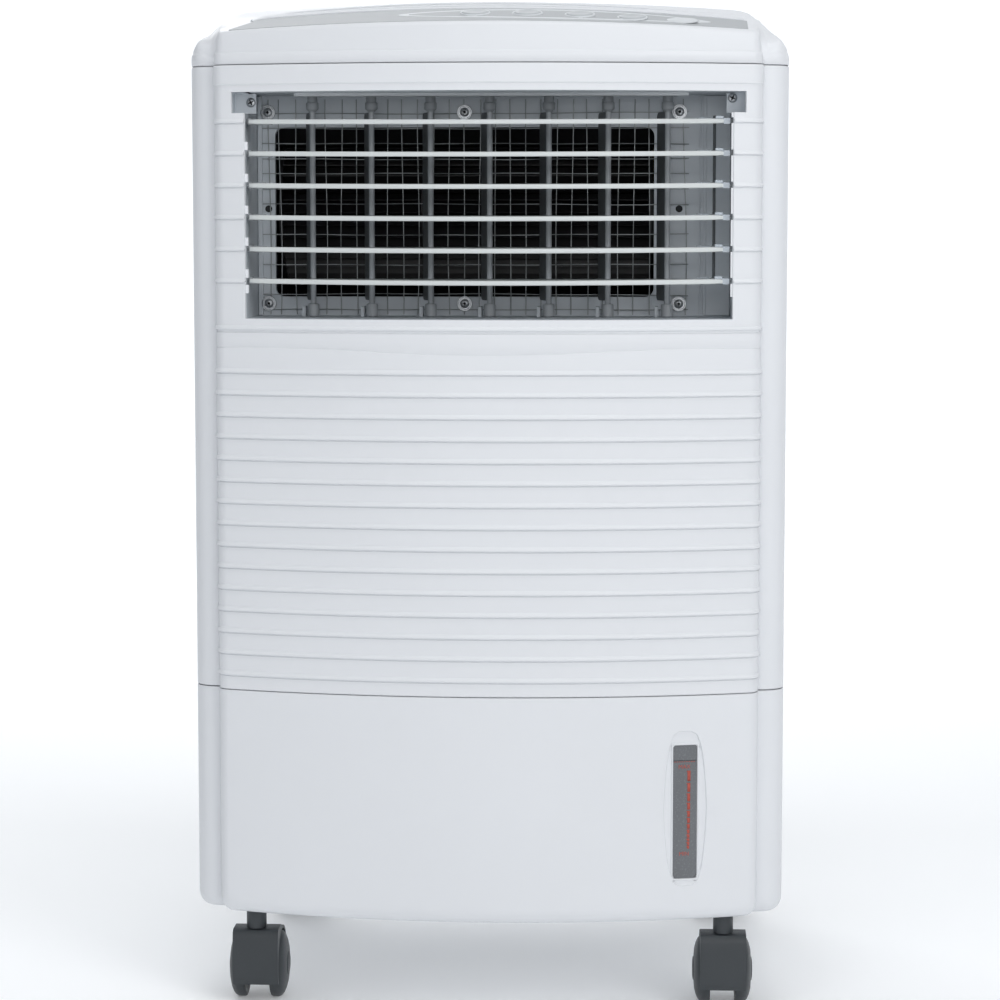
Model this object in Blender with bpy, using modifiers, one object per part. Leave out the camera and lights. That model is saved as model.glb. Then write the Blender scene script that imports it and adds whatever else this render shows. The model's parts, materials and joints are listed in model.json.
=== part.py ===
"""Evaporative cooler on casters, as an assembly of separate solids.

Metres, +Z up. The front faces -Y and the origin is on the floor under the middle of the body.
"""

import math

import bmesh
import bpy
import numpy as np
from mathutils import Matrix, Vector

# Body, seen from above: a bowed front section and a wider, deeper rear body behind it
BODY_HALF_WIDTH = 0.2165
FRONT_HALF_WIDTH = 0.197
FRONT_APEX_Y = -0.190
FRONT_BOW = 0.032
STEP_Y = -0.146
BODY_BACK_Y = 0.1885
REARMOST_Y = 0.1912
FRONT_CORNER_RADIUS = 0.011
STEP_CORNER_RADIUS = 0.017
BACK_CORNER_RADIUS = 0.020
WALL = 0.0025
GAP = 0.0003
MIDDLE_GRIP_Y = 0.005
GRIP_HALF_LENGTH = 0.050
GRIP_LOW_Z = 0.585
GRIP_HIGH_Z = 0.617
GRIP_FLOOR_X = 0.202

# Body, heights
BODY_BOTTOM_Z = 0.076
BASE_SEAM_Z = 0.2403
COVER_SEAM_Z = 0.6922

# Front shell: its ribs stand out as far in front as the grille does behind, so the body is centred
RIB_HEIGHT = REARMOST_Y + FRONT_APEX_Y
RIB_HALF_WIDTH = 0.0016
RIB_COUNT = 15
LOWEST_RIB_Z = 0.2526
RIB_PITCH = 0.01578
BAND_LOW_Z = 0.5041
BAND_HIGH_Z = 0.5085
BAND_HEIGHT = 0.0009
HEAD_BAND_Z = 0.6785

# Air outlet
OUTLET_HALF_WIDTH = 0.174
OUTLET_LOW_Z = 0.511
OUTLET_HIGH_Z = 0.673
NOTCH_HALF_WIDTH = 0.1835
NOTCH_LOW_Z = 0.658
NOTCH_BACK_Y = -0.141
FLANGE_Y = -0.090
DUCT_LEFT_X = -0.161
DUCT_RIGHT_X = 0.120
DUCT_LOW_Z = 0.525
DUCT_HIGH_Z = 0.650

# Louvers
LOUVER_COUNT = 6
LOUVER_AXIS_Y = -0.150
TOP_LOUVER_Z = 0.6524
LOUVER_PITCH = 0.0228
LOUVER_INSET = 0.0065
LOUVER_BACK_Y = -0.142
LOUVER_THICKNESS = 0.0024
LOUVER_HALF_WIDTH = 0.1715
LOUVER_TILT = math.radians(2.5)
LOUVER_PIN_RADIUS = 0.0019
LOUVER_CRANK = 0.0185
LOUVER_LINK_X = 0.1632

# Vanes
VANE_COUNT = 7
VANE_PITCH = 0.0432
VANE_AXIS_Y = -0.120
VANE_ROD_RADIUS = 0.0025
VANE_CHORD = 0.027
VANE_TURN = math.radians(13)
VANE_CRANK = 0.012
CRANK_PIN_RADIUS = 0.0012

# Blower
BLOWER_Y = -0.020
BLOWER_Z = 0.590
BLOWER_RADIUS = 0.056
BLOWER_BLADES = 12
SHAFT_RADIUS = 0.004
MOTOR_RADIUS = 0.038
SCROLL_WALL = 0.0022
TONGUE_Y = -0.034

# Controls
PANEL_SLOPE = math.radians(14)
PANEL_THICKNESS = 0.0025
BUTTON_RADIUS = 0.0093
FIRST_BUTTON_X = -0.0083
BUTTON_PITCH = 0.0373
BUTTON_COUNT = 4
BUTTON_Y = -0.159
RECEIVER_X = 0.1315

# Level window
WINDOW_X = 0.1443
WINDOW_HALF_WIDTH = 0.0085
WINDOW_LOW_Z = 0.1064
WINDOW_HIGH_Z = 0.2033

# Tank, pad and grille
TANK_HALF_WIDTH = 0.1605
TANK_FRONT_Y = -0.1325
TANK_LOW_Z = 0.0890
TANK_HIGH_Z = 0.2225
BAY_HALF_WIDTH = 0.1645
BAY_HIGH_Z = 0.2275
LATCH_Z = 0.2340
PUMP_X = 0.120
PUMP_Y = 0.148
PAD_HALF_WIDTH = 0.165
PAD_FRONT_Y = 0.130
PAD_BACK_Y = 0.1620
PAD_LOW_Z = 0.285
PAD_HIGH_Z = 0.6640
GRILLE_HALF_WIDTH = 0.1725
GRILLE_LOW_Z = 0.262
GRILLE_HIGH_Z = 0.668
SLOT_ROWS = 15
GLAND_X = -0.195
GLAND_Z = 0.278

# Casters
CASTER_X = 0.1735
CASTER_FRONT_Y = -0.133
CASTER_BACK_Y = 0.145
CASTER_TRAIL = 0.018
WHEEL_RADIUS = 0.025
HOOD_RADIUS = 0.0285
HOOD_INSIDE = 0.0262
HOOD_START = 10
HOOD_END = 217
STEM_RADIUS = 0.0048
COLLAR_RADIUS = 0.0074

BOW_RADIUS = (FRONT_HALF_WIDTH**2 + FRONT_BOW**2) / (2 * FRONT_BOW)
BOW_CENTRE_Y = FRONT_APEX_Y + BOW_RADIUS
BOW_STEPS = 8
CORNER_STEPS = 2

MATERIALS = {
    "white_plastic": ((0.80, 0.82, 0.85), 0.38),
    "panel_grey": ((0.55, 0.57, 0.58), 0.45),
    "button_grey": ((0.62, 0.64, 0.65), 0.40),
    "recess_grey": ((0.17, 0.19, 0.21), 0.55),
    "louver_grey": ((0.55, 0.57, 0.56), 0.35),
    "rod_grey": ((0.16, 0.18, 0.19), 0.50),
    "wire": ((0.35, 0.37, 0.38), 0.40),
    "black_plastic": ((0.02, 0.02, 0.022), 0.50),
    "charcoal": ((0.045, 0.048, 0.052), 0.50),
    "window_grey": ((0.14, 0.16, 0.19), 0.15),
    "pad_brown": ((0.30, 0.20, 0.11), 0.90),
    "filter_black": ((0.05, 0.05, 0.05), 0.80),
    "steel": ((0.60, 0.60, 0.62), 0.30),
    "board_green": ((0.05, 0.20, 0.08), 0.50),
    "clear_hose": ((0.70, 0.74, 0.76), 0.30),
}
METALS = ("wire", "steel")


def start_scene():
    for old in list(bpy.data.objects):
        bpy.data.objects.remove(old)
    for name in ("evaporative_cooler", "cutters"):
        collection = bpy.data.collections.new(name)
        bpy.context.scene.collection.children.link(collection)
    for name, (colour, roughness) in MATERIALS.items():
        material = bpy.data.materials.new(name)
        material.use_nodes = True
        shader = material.node_tree.nodes["Principled BSDF"]
        shader.inputs["Base Color"].default_value = (*colour, 1)
        shader.inputs["Roughness"].default_value = roughness
        shader.inputs["Metallic"].default_value = 1.0 if name in METALS else 0.0


def piece(mesh):
    """A working solid, which part() keeps and combined() uses up."""
    shape = bpy.data.objects.new("piece", mesh)
    bpy.data.collections["cutters"].objects.link(shape)
    return shape


def cleaned(shape_mesh, place=None):
    """A working solid of this mesh with its points welded and its faces outward."""
    solid = bmesh.new()
    solid.from_mesh(shape_mesh)
    bmesh.ops.remove_doubles(solid, verts=solid.verts, dist=1e-6)
    bmesh.ops.recalc_face_normals(solid, faces=solid.faces)
    if place:
        solid.transform(place)
    mesh = bpy.data.meshes.new("piece")
    solid.to_mesh(mesh)
    solid.free()
    return piece(mesh)


def evaluated_mesh(shape):
    graph = bpy.context.evaluated_depsgraph_get()
    return bpy.data.meshes.new_from_object(shape.evaluated_get(graph))


def combined(base, add=(), cut=()):
    """base joined with every solid of add, less every solid of cut."""
    for operation, others in (("UNION", add), ("DIFFERENCE", cut)):
        for other in others:
            step = base.modifiers.new(operation, "BOOLEAN")
            step.operation = operation
            step.solver = "EXACT"
            step.object = other
    bpy.context.view_layer.update()
    mesh = evaluated_mesh(base)
    for used in (base, *add, *cut):
        bpy.data.objects.remove(used)
    return piece(mesh)


def gathered(shapes):
    """Several solids as one working solid, without joining them."""
    group = bmesh.new()
    for shape in shapes:
        group.from_mesh(shape.data)
    mesh = bpy.data.meshes.new("piece")
    group.to_mesh(mesh)
    group.free()
    for used in shapes:
        bpy.data.objects.remove(used)
    return piece(mesh)


def part(name, shape, material, location=(0, 0, 0), rotation=(0, 0, 0)):
    """The named object that keeps this shape."""
    shape.name = name
    shape.data.name = name
    shape.location = location
    shape.rotation_euler = rotation
    shape.data.materials.clear()
    shape.data.materials.append(bpy.data.materials[material])
    if shape.type == "MESH":
        shape.data.shade_smooth()
        shape.data.set_sharp_from_angle(angle=math.radians(32))
    bpy.data.collections["cutters"].objects.unlink(shape)
    bpy.data.collections["evaporative_cooler"].objects.link(shape)
    return shape


def twin(name, original, location, rotation=(0, 0, 0)):
    """A copy of a part that shares its mesh."""
    copy = bpy.data.objects.new(name, original.data)
    copy.location = location
    copy.rotation_euler = rotation
    bpy.data.collections["evaporative_cooler"].objects.link(copy)
    return copy


def box(low, high):
    low, high = Vector(low), Vector(high)
    solid = bmesh.new()
    place = Matrix.Translation((low + high) / 2) @ Matrix.Diagonal((*(high - low), 1))
    bmesh.ops.create_cube(solid, size=1, matrix=place)
    mesh = bpy.data.meshes.new("piece")
    solid.to_mesh(mesh)
    solid.free()
    return piece(mesh)


def rod(start, end, radius, segments=12):
    """A cylinder from start to end."""
    start, end = Vector(start), Vector(end)
    along = end - start
    turn = along.to_track_quat("Z", "Y").to_matrix().to_4x4()
    solid = bmesh.new()
    bmesh.ops.create_cone(
        solid,
        cap_ends=True,
        segments=segments,
        radius1=radius,
        radius2=radius,
        depth=along.length,
        matrix=Matrix.Translation((start + end) / 2) @ turn,
    )
    mesh = bpy.data.meshes.new("piece")
    solid.to_mesh(mesh)
    solid.free()
    return piece(mesh)


def turned(profile, segments, place=None):
    """A profile of (radius, height) points swept round Z."""
    mesh = bpy.data.meshes.new("piece")
    points = [(radius, 0, height) for radius, height in profile]
    mesh.from_pydata(points, [(i, i + 1) for i in range(len(points) - 1)], [])
    shape = piece(mesh)
    sweep = shape.modifiers.new("Screw", "SCREW")
    sweep.steps = segments
    sweep.render_steps = segments
    sweep.use_merge_vertices = True
    sweep.merge_threshold = 1e-5
    bpy.context.view_layer.update()
    swept = cleaned(evaluated_mesh(shape), place)
    bpy.data.objects.remove(shape)
    return swept


OUTLINE_PLANES = {
    "X": Matrix(((0, 0, 1, 0), (1, 0, 0, 0), (0, 1, 0, 0), (0, 0, 0, 1))),
    "Y": Matrix(((1, 0, 0, 0), (0, 0, -1, 0), (0, 1, 0, 0), (0, 0, 0, 1))),
    "Z": Matrix.Identity(4),
}


def prism(outline, axis, low, high):
    """A flat outline drawn across the named axis and extruded along it from low to high."""
    curve = bpy.data.curves.new("outline", "CURVE")
    curve.dimensions = "2D"
    curve.fill_mode = "BOTH"
    curve.extrude = (high - low) / 2
    spline = curve.splines.new("POLY")
    spline.points.add(len(outline) - 1)
    for point, (across, up) in zip(spline.points, outline):
        point.co = (across, up, 0, 1)
    spline.use_cyclic_u = True
    shape = piece(curve)
    bpy.context.view_layer.update()
    middle = Vector([(low + high) / 2 if name == axis else 0 for name in "XYZ"])
    solid = cleaned(evaluated_mesh(shape), Matrix.Translation(middle) @ OUTLINE_PLANES[axis])
    bpy.data.objects.remove(shape)
    return solid


def loft(rings):
    """A closed solid skinned over rings of equally many points."""
    solid = bmesh.new()
    rows = [[solid.verts.new(point) for point in ring] for ring in rings]
    for low, high in zip(rows, rows[1:]):
        for index in range(len(low)):
            after = (index + 1) % len(low)
            solid.faces.new((low[index], low[after], high[after], high[index]))
    solid.faces.new(rows[0])
    solid.faces.new(rows[-1])
    mesh = bpy.data.meshes.new("piece")
    solid.to_mesh(mesh)
    solid.free()
    return cleaned(mesh)


def rounded(corners, steps=CORNER_STEPS):
    """The points of an outline given as (x, y, radius) corners."""
    points = []
    for index, (x, y, radius) in enumerate(corners):
        corner = Vector((x, y))
        if radius <= 0:
            points.append((x, y))
            continue
        before = (Vector(corners[index - 1][:2]) - corner).normalized()
        after = (Vector(corners[(index + 1) % len(corners)][:2]) - corner).normalized()
        half = before.angle(after) / 2
        centre = corner + (before + after).normalized() * (radius / math.sin(half))
        start = corner + before * (radius / math.tan(half)) - centre
        end = corner + after * (radius / math.tan(half)) - centre
        sweep = math.pi - 2 * half
        for step in range(steps + 1):
            share = step / steps
            arm = start * math.sin((1 - share) * sweep) + end * math.sin(share * sweep)
            points.append(tuple(centre + arm / math.sin(sweep)))
    return points


def rectangle(left, right, low, high, radius):
    corners = ((left, low), (right, low), (right, high), (left, high))
    return rounded([(across, up, radius) for across, up in corners])


def arc(centre, radius, start, end, steps):
    """Points on an arc, with its angles in degrees; the radius may change evenly along it."""
    first, last = radius if isinstance(radius, tuple) else (radius, radius)
    points = []
    for step in range(steps + 1):
        share = step / steps
        angle = math.radians(start + (end - start) * share)
        reach = first + (last - first) * share
        points.append((centre[0] + reach * math.cos(angle), centre[1] + reach * math.sin(angle)))
    return points


def bow_y(x, grow=0.0):
    """Y of the bowed front face, or of a face parallel to it that stands grow in front."""
    return BOW_CENTRE_Y - math.sqrt((BOW_RADIUS + grow) ** 2 - x**2)


def front_corners(grow, back_y):
    """The front section's outline from its left side round the bow to its right side."""
    half = FRONT_HALF_WIDTH + grow
    radius = FRONT_CORNER_RADIUS + grow
    corners = [(-half, back_y, 0)]
    for step in range(BOW_STEPS + 1):
        x = half * (2 * step / BOW_STEPS - 1)
        corners.append((x, bow_y(x, grow), radius if step in (0, BOW_STEPS) else 0))
    corners.append((half, back_y, 0))
    return corners


def body_outline(grow=0.0):
    """The whole body's outline: the front section, then the wider rear body."""
    half = BODY_HALF_WIDTH + grow
    step_y = STEP_Y - grow
    back_y = BODY_BACK_Y + grow
    corners = front_corners(grow, step_y)
    corners.append((half, step_y, STEP_CORNER_RADIUS + grow))
    corners.append((half, back_y, BACK_CORNER_RADIUS + grow))
    corners.append((-half, back_y, BACK_CORNER_RADIUS + grow))
    corners.append((-half, step_y, STEP_CORNER_RADIUS + grow))
    return rounded(corners)


def rear_outline(grow=0.0):
    half = BODY_HALF_WIDTH + grow
    corners = (
        (-half, STEP_Y - grow, STEP_CORNER_RADIUS + grow),
        (half, STEP_Y - grow, STEP_CORNER_RADIUS + grow),
        (half, BODY_BACK_Y + grow, BACK_CORNER_RADIUS + grow),
        (-half, BODY_BACK_Y + grow, BACK_CORNER_RADIUS + grow),
    )
    return rounded(corners)


# Heights of the top cover: across it, down its back edge and at the step beside the front section
FRONT_EDGE_Z = 0.7215
CROWN_Z = 0.7437
SHOULDER = (
    (0.180, 0.188, 0.194, 0.197, 0.2005, 0.2085, 0.2140, 0.2165),
    (0.7295, 0.7262, 0.7220, 0.7185, 0.7155, 0.7115, 0.7060, 0.7005),
)
BACK_EDGE = (
    (0.0, 0.06, 0.10, 0.13, 0.155, 0.172, 0.183, BODY_BACK_Y),
    (CROWN_Z, 0.7420, 0.7385, 0.7330, 0.7260, 0.7190, 0.7125, 0.7020),
)
STEP_EDGE = (
    (STEP_Y, -0.142, -0.134, -0.120),
    (0.7005, 0.7075, 0.7130, 0.7200),
)


def cover_z(x, y):
    """Height of the top cover's upper surface."""
    side = abs(x)
    behind = y - bow_y(min(side, FRONT_HALF_WIDTH))
    slope = math.tan(PANEL_SLOPE) * min(max(behind - 0.005, 0), 0.045)
    steps = 0.0065 * min(max((behind - 0.050) / 0.022, 0), 1)
    crown = 0.0045 * math.sin(math.pi / 2 * min(max((behind - 0.072) / 0.12, 0), 1))
    blend = min(max(behind / 0.06, 0), 1)
    arch = (0.139 + 0.181 * blend) * x * x
    height = FRONT_EDGE_Z + slope + steps + crown - arch
    if side > SHOULDER[0][0]:
        height = min(height, float(np.interp(side, *SHOULDER)))
    if y > 0:
        height = min(height, float(np.interp(y, *BACK_EDGE)))
    if side > FRONT_HALF_WIDTH:
        height = min(height, float(np.interp(y, *STEP_EDGE)))
    return height


def make_base_housing():
    levels = ((-0.0075, BODY_BOTTOM_Z), (-0.0035, 0.0775), (-0.0015, 0.083), (0, BASE_SEAM_Z))
    rings = [[(x, y, z) for x, y in body_outline(grow)] for grow, z in levels]
    rings.append([(x, y, BASE_SEAM_Z) for x, y in body_outline(-WALL)])
    rings.append([(x, y, 0.079) for x, y in body_outline(-0.0105)])
    bosses = []
    bores = []
    for x in (-CASTER_X, CASTER_X):
        for y in (CASTER_FRONT_Y, CASTER_BACK_Y):
            bosses.append(rod((x, y, 0.0775), (x, y, 0.102), 0.0105))
            bores.append(rod((x, y, 0.070), (x, y, 0.0985), STEM_RADIUS + 0.0011))
            bores.append(rod((x, y, 0.070), (x, y, 0.0785), COLLAR_RADIUS + 0.0010))
    rails = [box((x - 0.006, -0.130, 0.0775), (x + 0.006, 0.180, TANK_LOW_Z - GAP)) for x in (-0.1, 0.1)]
    bay = box((-BAY_HALF_WIDTH, 0.170, TANK_LOW_Z - GAP), (BAY_HALF_WIDTH, 0.200, BAY_HIGH_Z))
    window = box(
        (WINDOW_X - 0.009, -0.200, WINDOW_LOW_Z - 0.0004),
        (WINDOW_X + 0.009, -0.150, WINDOW_HIGH_Z + 0.0004),
    )
    latch_bore = rod((0, 0.180, LATCH_Z), (0, 0.200, LATCH_Z), 0.0034)
    shape = combined(loft(rings), [*bosses, *rails], [*bores, bay, window, latch_bore])
    part("base_housing", shape, "white_plastic")


def make_level_window():
    turn = Matrix.Rotation(math.asin(WINDOW_X / BOW_RADIUS), 4, "Z")
    half = WINDOW_HALF_WIDTH
    shape = box((-half, 0.0008, WINDOW_LOW_Z), (half, 0.0028, WINDOW_HIGH_Z))
    shape.data.transform(Matrix.Translation((WINDOW_X, bow_y(WINDOW_X), 0)) @ turn)
    part("level_window", shape, "window_grey")


def front_levels():
    """(height, how far it stands out) down the front shell's outer face."""
    levels = [(BASE_SEAM_Z + GAP, 0)]
    for z in [LOWEST_RIB_Z + RIB_PITCH * index for index in range(RIB_COUNT)]:
        levels += [(z - RIB_HALF_WIDTH, 0), (z, RIB_HEIGHT), (z + RIB_HALF_WIDTH, 0)]
    levels += [(BAND_LOW_Z - 0.0030, 0), (BAND_LOW_Z - 0.0018, -0.0008), (BAND_LOW_Z - 0.0006, 0)]
    levels += [(BAND_LOW_Z, BAND_HEIGHT), (BAND_HIGH_Z, BAND_HEIGHT), (BAND_HIGH_Z + 0.0006, 0)]
    for z in reversed(louver_heights()):
        levels += [(z - 0.0012, 0), (z, BAND_HEIGHT), (z + 0.0012, 0)]
    levels += [(HEAD_BAND_Z, 0), (HEAD_BAND_Z + 0.0006, BAND_HEIGHT)]
    levels.append((COVER_SEAM_Z - GAP, BAND_HEIGHT))
    return levels


def make_front_shell():
    back_y = STEP_Y - GAP
    rings = []
    for z, grow in front_levels():
        rings.append([(x, y, z) for x, y in rounded(front_corners(grow, back_y))])
    inside = prism(rounded(front_corners(-WALL, 0)), "Z", 0.2, 0.8)
    outlet = box((-OUTLET_HALF_WIDTH, -0.2, OUTLET_LOW_Z), (OUTLET_HALF_WIDTH, -0.13, OUTLET_HIGH_Z))
    notch = box((-NOTCH_HALF_WIDTH, -0.2, NOTCH_LOW_Z), (NOTCH_HALF_WIDTH, -0.152, OUTLET_HIGH_Z))
    shape = combined(loft(rings), [], [inside, outlet, notch])
    part("front_shell", shape, "white_plastic")


def make_rear_shell():
    low, high = BASE_SEAM_Z + GAP, COVER_SEAM_Z - GAP
    inside = prism(rear_outline(-WALL), "Z", 0.2, 0.8)
    mouth = box((-0.188, -0.2, 0.2), (0.188, STEP_Y + 0.01, 0.8))
    half = GRILLE_HALF_WIDTH
    grille = box((-half, 0.17, GRILLE_LOW_Z), (half, 0.2, GRILLE_HIGH_Z))
    gland = rod((GLAND_X, 0.17, GLAND_Z), (GLAND_X, 0.2, GLAND_Z), 0.0062)
    shape = combined(prism(rear_outline(), "Z", low, high), [], [inside, mouth, grille, gland])
    cups = []
    pockets = []
    front_y, back_y = MIDDLE_GRIP_Y - GRIP_HALF_LENGTH, MIDDLE_GRIP_Y + GRIP_HALF_LENGTH
    for side in (-1, 1):
        left, right = sorted((side * (GRIP_FLOOR_X - WALL), side * (BODY_HALF_WIDTH - 0.001)))
        low = (left, front_y - WALL, GRIP_LOW_Z - WALL)
        cups.append(box(low, (right, back_y + WALL, GRIP_HIGH_Z + WALL)))
        left, right = sorted((side * GRIP_FLOOR_X, side * 0.230))
        pockets.append(box((left, front_y, GRIP_LOW_Z), (right, back_y, GRIP_HIGH_Z)))
    part("rear_shell", combined(shape, cups, pockets), "white_plastic")


def panel_edges(grow=0.0):
    """(x, front y, back y) along the control panel: pointed on the left, cut off on the right."""
    left, right = -0.180 - grow, 0.186 + grow
    steps = 12
    edges = []
    for step in range(steps + 1):
        x = left + (right - left) * step / steps
        front_y = bow_y(x) + 0.006 - grow
        back_y = -0.127 - 0.013 * (1 - (x / 0.180) ** 2) + grow
        reach = min(1, 0.15 + (x - left) / 0.030)
        edges.append((x, front_y, front_y + (back_y - front_y) * reach))
    return edges


def ellipse(centre, across, along, steps=14):
    angles = [2 * math.pi * step / steps for step in range(steps)]
    return [(centre[0] + across * math.cos(a), centre[1] + along * math.sin(a)) for a in angles]


def make_top_cover():
    def ring(outline, scale, fall):
        points = [(x * scale, y * scale) for x, y in outline]
        return [(x, y, cover_z(x, y) - fall) for x, y in points]

    inner, outer = body_outline(-WALL), body_outline()
    rings = [ring(inner, scale, 0.0042) for scale in (0.3, 0.75, 0.92, 1)]
    rings.append([(x, y, COVER_SEAM_Z) for x, y in inner])
    rings.append([(x, y, COVER_SEAM_Z) for x, y in outer])
    rings.append(ring(outer, 1, 0.003))
    rings += [ring(outer, scale, 0) for scale in (0.988, 0.95, 0.89, 0.78, 0.60, 0.25)]
    edges = panel_edges(GAP)
    outline = [(x, front_y) for x, front_y, _ in edges] + [(x, back_y) for x, _, back_y in edges[::-1]]
    opening = prism(outline, "Z", 0.70, 0.77)
    part("top_cover", combined(loft(rings), [], [opening]), "white_plastic")


def panel_normal():
    return Vector((0, -math.sin(PANEL_SLOPE), math.cos(PANEL_SLOPE)))


def button_places():
    xs = [FIRST_BUTTON_X + BUTTON_PITCH * index for index in range(BUTTON_COUNT)]
    return [Vector((x, BUTTON_Y, cover_z(x, BUTTON_Y))) for x in xs]


def make_controls():
    sections = []
    for x, front_y, back_y in panel_edges():
        ys = [front_y + (back_y - front_y) * share for share in (0, 1 / 3, 2 / 3, 1)]
        top = [(x, y, cover_z(x, y)) for y in ys]
        sections.append(top + [(x, y, z - PANEL_THICKNESS) for x, y, z in top[::-1]])
    plate = loft(sections)
    reach = panel_normal() * 0.01
    holes = [rod(at - reach, at + reach, BUTTON_RADIUS + 0.0006, 14) for at in button_places()]
    receiver_at = (RECEIVER_X + 0.007, BUTTON_Y + 0.003)
    holes.append(prism(ellipse(receiver_at, 0.0123, 0.0083), "Z", 0.70, 0.75))
    part("control_panel", combined(plate, [], holes), "panel_grey")
    oval = prism(ellipse(receiver_at, 0.0120, 0.0080), "Z", -PANEL_THICKNESS, 0.0002)
    for vertex in oval.data.vertices:
        vertex.co.z += cover_z(vertex.co.x, vertex.co.y)
    part("receiver_window", oval, "button_grey")
    profile = ((0, -0.0045), (BUTTON_RADIUS, -0.0045), (BUTTON_RADIUS, 0.0008), (0.0080, 0.0014), (0, 0.0016))
    first = None
    for index, at in enumerate(button_places()):
        name = f"button_{index + 1}"
        if first:
            twin(name, first, at, (PANEL_SLOPE, 0, 0))
        else:
            first = part(name, turned(profile[::-1], 14), "button_grey", at, (PANEL_SLOPE, 0, 0))
    middle = button_places()[1] - panel_normal() * 0.013 + Vector((0.018, 0, 0))
    board = box((-0.085, -0.016, -0.0008), (0.085, 0.016, 0.0008))
    part("control_board", board, "board_green", middle, (PANEL_SLOPE, 0, 0))


def louver_heights():
    return [TOP_LOUVER_Z - LOUVER_PITCH * index for index in range(LOUVER_COUNT)]


def vane_places():
    return [VANE_PITCH * (index - (VANE_COUNT - 1) / 2) for index in range(VANE_COUNT)]


def make_outlet_frame():
    def plan(half, back_y, inset):
        xs = [half * (2 * step / 8 - 1) for step in range(9)]
        return [(x, bow_y(x) + inset) for x in xs] + [(half, back_y), (-half, back_y)]

    wide = OUTLET_HALF_WIDTH + WALL
    shell = prism(
        plan(wide, FLANGE_Y + WALL, WALL + 0.001), "Z", OUTLET_LOW_Z - WALL, OUTLET_HIGH_Z + WALL
    )
    hollow = prism(plan(OUTLET_HALF_WIDTH, FLANGE_Y, -0.01), "Z", OUTLET_LOW_Z, OUTLET_HIGH_Z)
    ears = []
    pockets = []
    for side in (-1, 1):
        ends = sorted((side * (OUTLET_HALF_WIDTH + 0.001), side * (NOTCH_HALF_WIDTH + WALL)))
        top = OUTLET_HIGH_Z + WALL - 0.0002
        ears.append(box((ends[0], -0.1555, NOTCH_LOW_Z - WALL), (ends[1], NOTCH_BACK_Y + WALL, top)))
        ends = sorted((side * (OUTLET_HALF_WIDTH - 0.004), side * NOTCH_HALF_WIDTH))
        pockets.append(box((ends[0], -0.17, NOTCH_LOW_Z), (ends[1], NOTCH_BACK_Y, OUTLET_HIGH_Z - 0.0001)))
    duct = prism(
        rectangle(DUCT_LEFT_X, DUCT_RIGHT_X, DUCT_LOW_Z, DUCT_HIGH_Z, 0.006), "Y", -0.1, -0.08
    )
    bores = []
    for z in louver_heights():
        bores.append(rod((-0.18, LOUVER_AXIS_Y, z), (0.18, LOUVER_AXIS_Y, z), 0.0026, 6))
    for x in vane_places():
        bores.append(rod((x, VANE_AXIS_Y, 0.5), (x, VANE_AXIS_Y, 0.7), 0.0032, 6))
    tray = combined(shell, ears, [hollow, *pockets])
    part("outlet_frame", combined(tray, [], [duct, gathered(bores)]), "recess_grey")


def make_wire_guard():
    left, right, low, high = -0.1722, 0.146, 0.5120, 0.6715
    columns, rows, bar = 8, 4, 0.0012
    across = (right - left - bar) / columns
    up = (high - low - bar) / rows
    front, back = FLANGE_Y - 0.0018, FLANGE_Y - 0.0006
    meshes = []
    for column in range(columns):
        for row in range(rows):
            x, z = left + bar + across * column, low + bar + up * row
            meshes.append(box((x, -0.1, z), (x + across - bar, -0.08, z + up - bar)))
    sheet = box((left, front, low), (right, back, high))
    part("wire_guard", combined(sheet, [], [gathered(meshes)]), "wire")


def make_louvers():
    half = LOUVER_HALF_WIDTH
    xs = [half * (2 * step / 8 - 1) for step in range(9)]
    plan = [(x, bow_y(x) + LOUVER_INSET - LOUVER_AXIS_Y) for x in xs]
    plan += [(half, LOUVER_BACK_Y - LOUVER_AXIS_Y), (-half, LOUVER_BACK_Y - LOUVER_AXIS_Y)]
    blade = prism(plan, "Z", -LOUVER_THICKNESS / 2, LOUVER_THICKNESS / 2)
    pin_end = OUTLET_HALF_WIDTH + 0.0018
    pins = [
        rod((-pin_end, 0, 0), (-half + 0.010, 0, 0), LOUVER_PIN_RADIUS, 6),
        rod((half - 0.010, 0, 0), (pin_end, 0, 0), LOUVER_PIN_RADIUS, 6),
    ]
    crank = box((0.1660, 0.005, -0.0022), (0.1682, LOUVER_CRANK + 0.0025, 0.0022))
    crank_pin = rod((0.1610, LOUVER_CRANK, 0), (0.1670, LOUVER_CRANK, 0), CRANK_PIN_RADIUS, 6)
    shape = combined(blade, [*pins, crank, crank_pin])
    tilt = (LOUVER_TILT, 0, 0)
    first = None
    for index, z in enumerate(louver_heights()):
        place = (0, LOUVER_AXIS_Y, z)
        name = f"louver_{index + 1}"
        if first:
            twin(name, first, place, tilt)
        else:
            first = part(name, shape, "louver_grey", place, tilt)
    link_y = LOUVER_AXIS_Y + LOUVER_CRANK * math.cos(LOUVER_TILT)
    rise = LOUVER_CRANK * math.sin(LOUVER_TILT)
    heights = [z + rise for z in louver_heights()]
    low, high = heights[-1] - 0.004 - heights[0], 0.004
    bar = box((-0.0014, -0.0022, low), (0.0014, 0.0022, high))
    eyes = [rod((-0.01, 0, z - heights[0]), (0.01, 0, z - heights[0]), 0.0017, 6) for z in heights]
    place = (LOUVER_LINK_X, link_y, heights[0])
    part("louver_link", combined(bar, [], eyes), "rod_grey", place)


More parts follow.
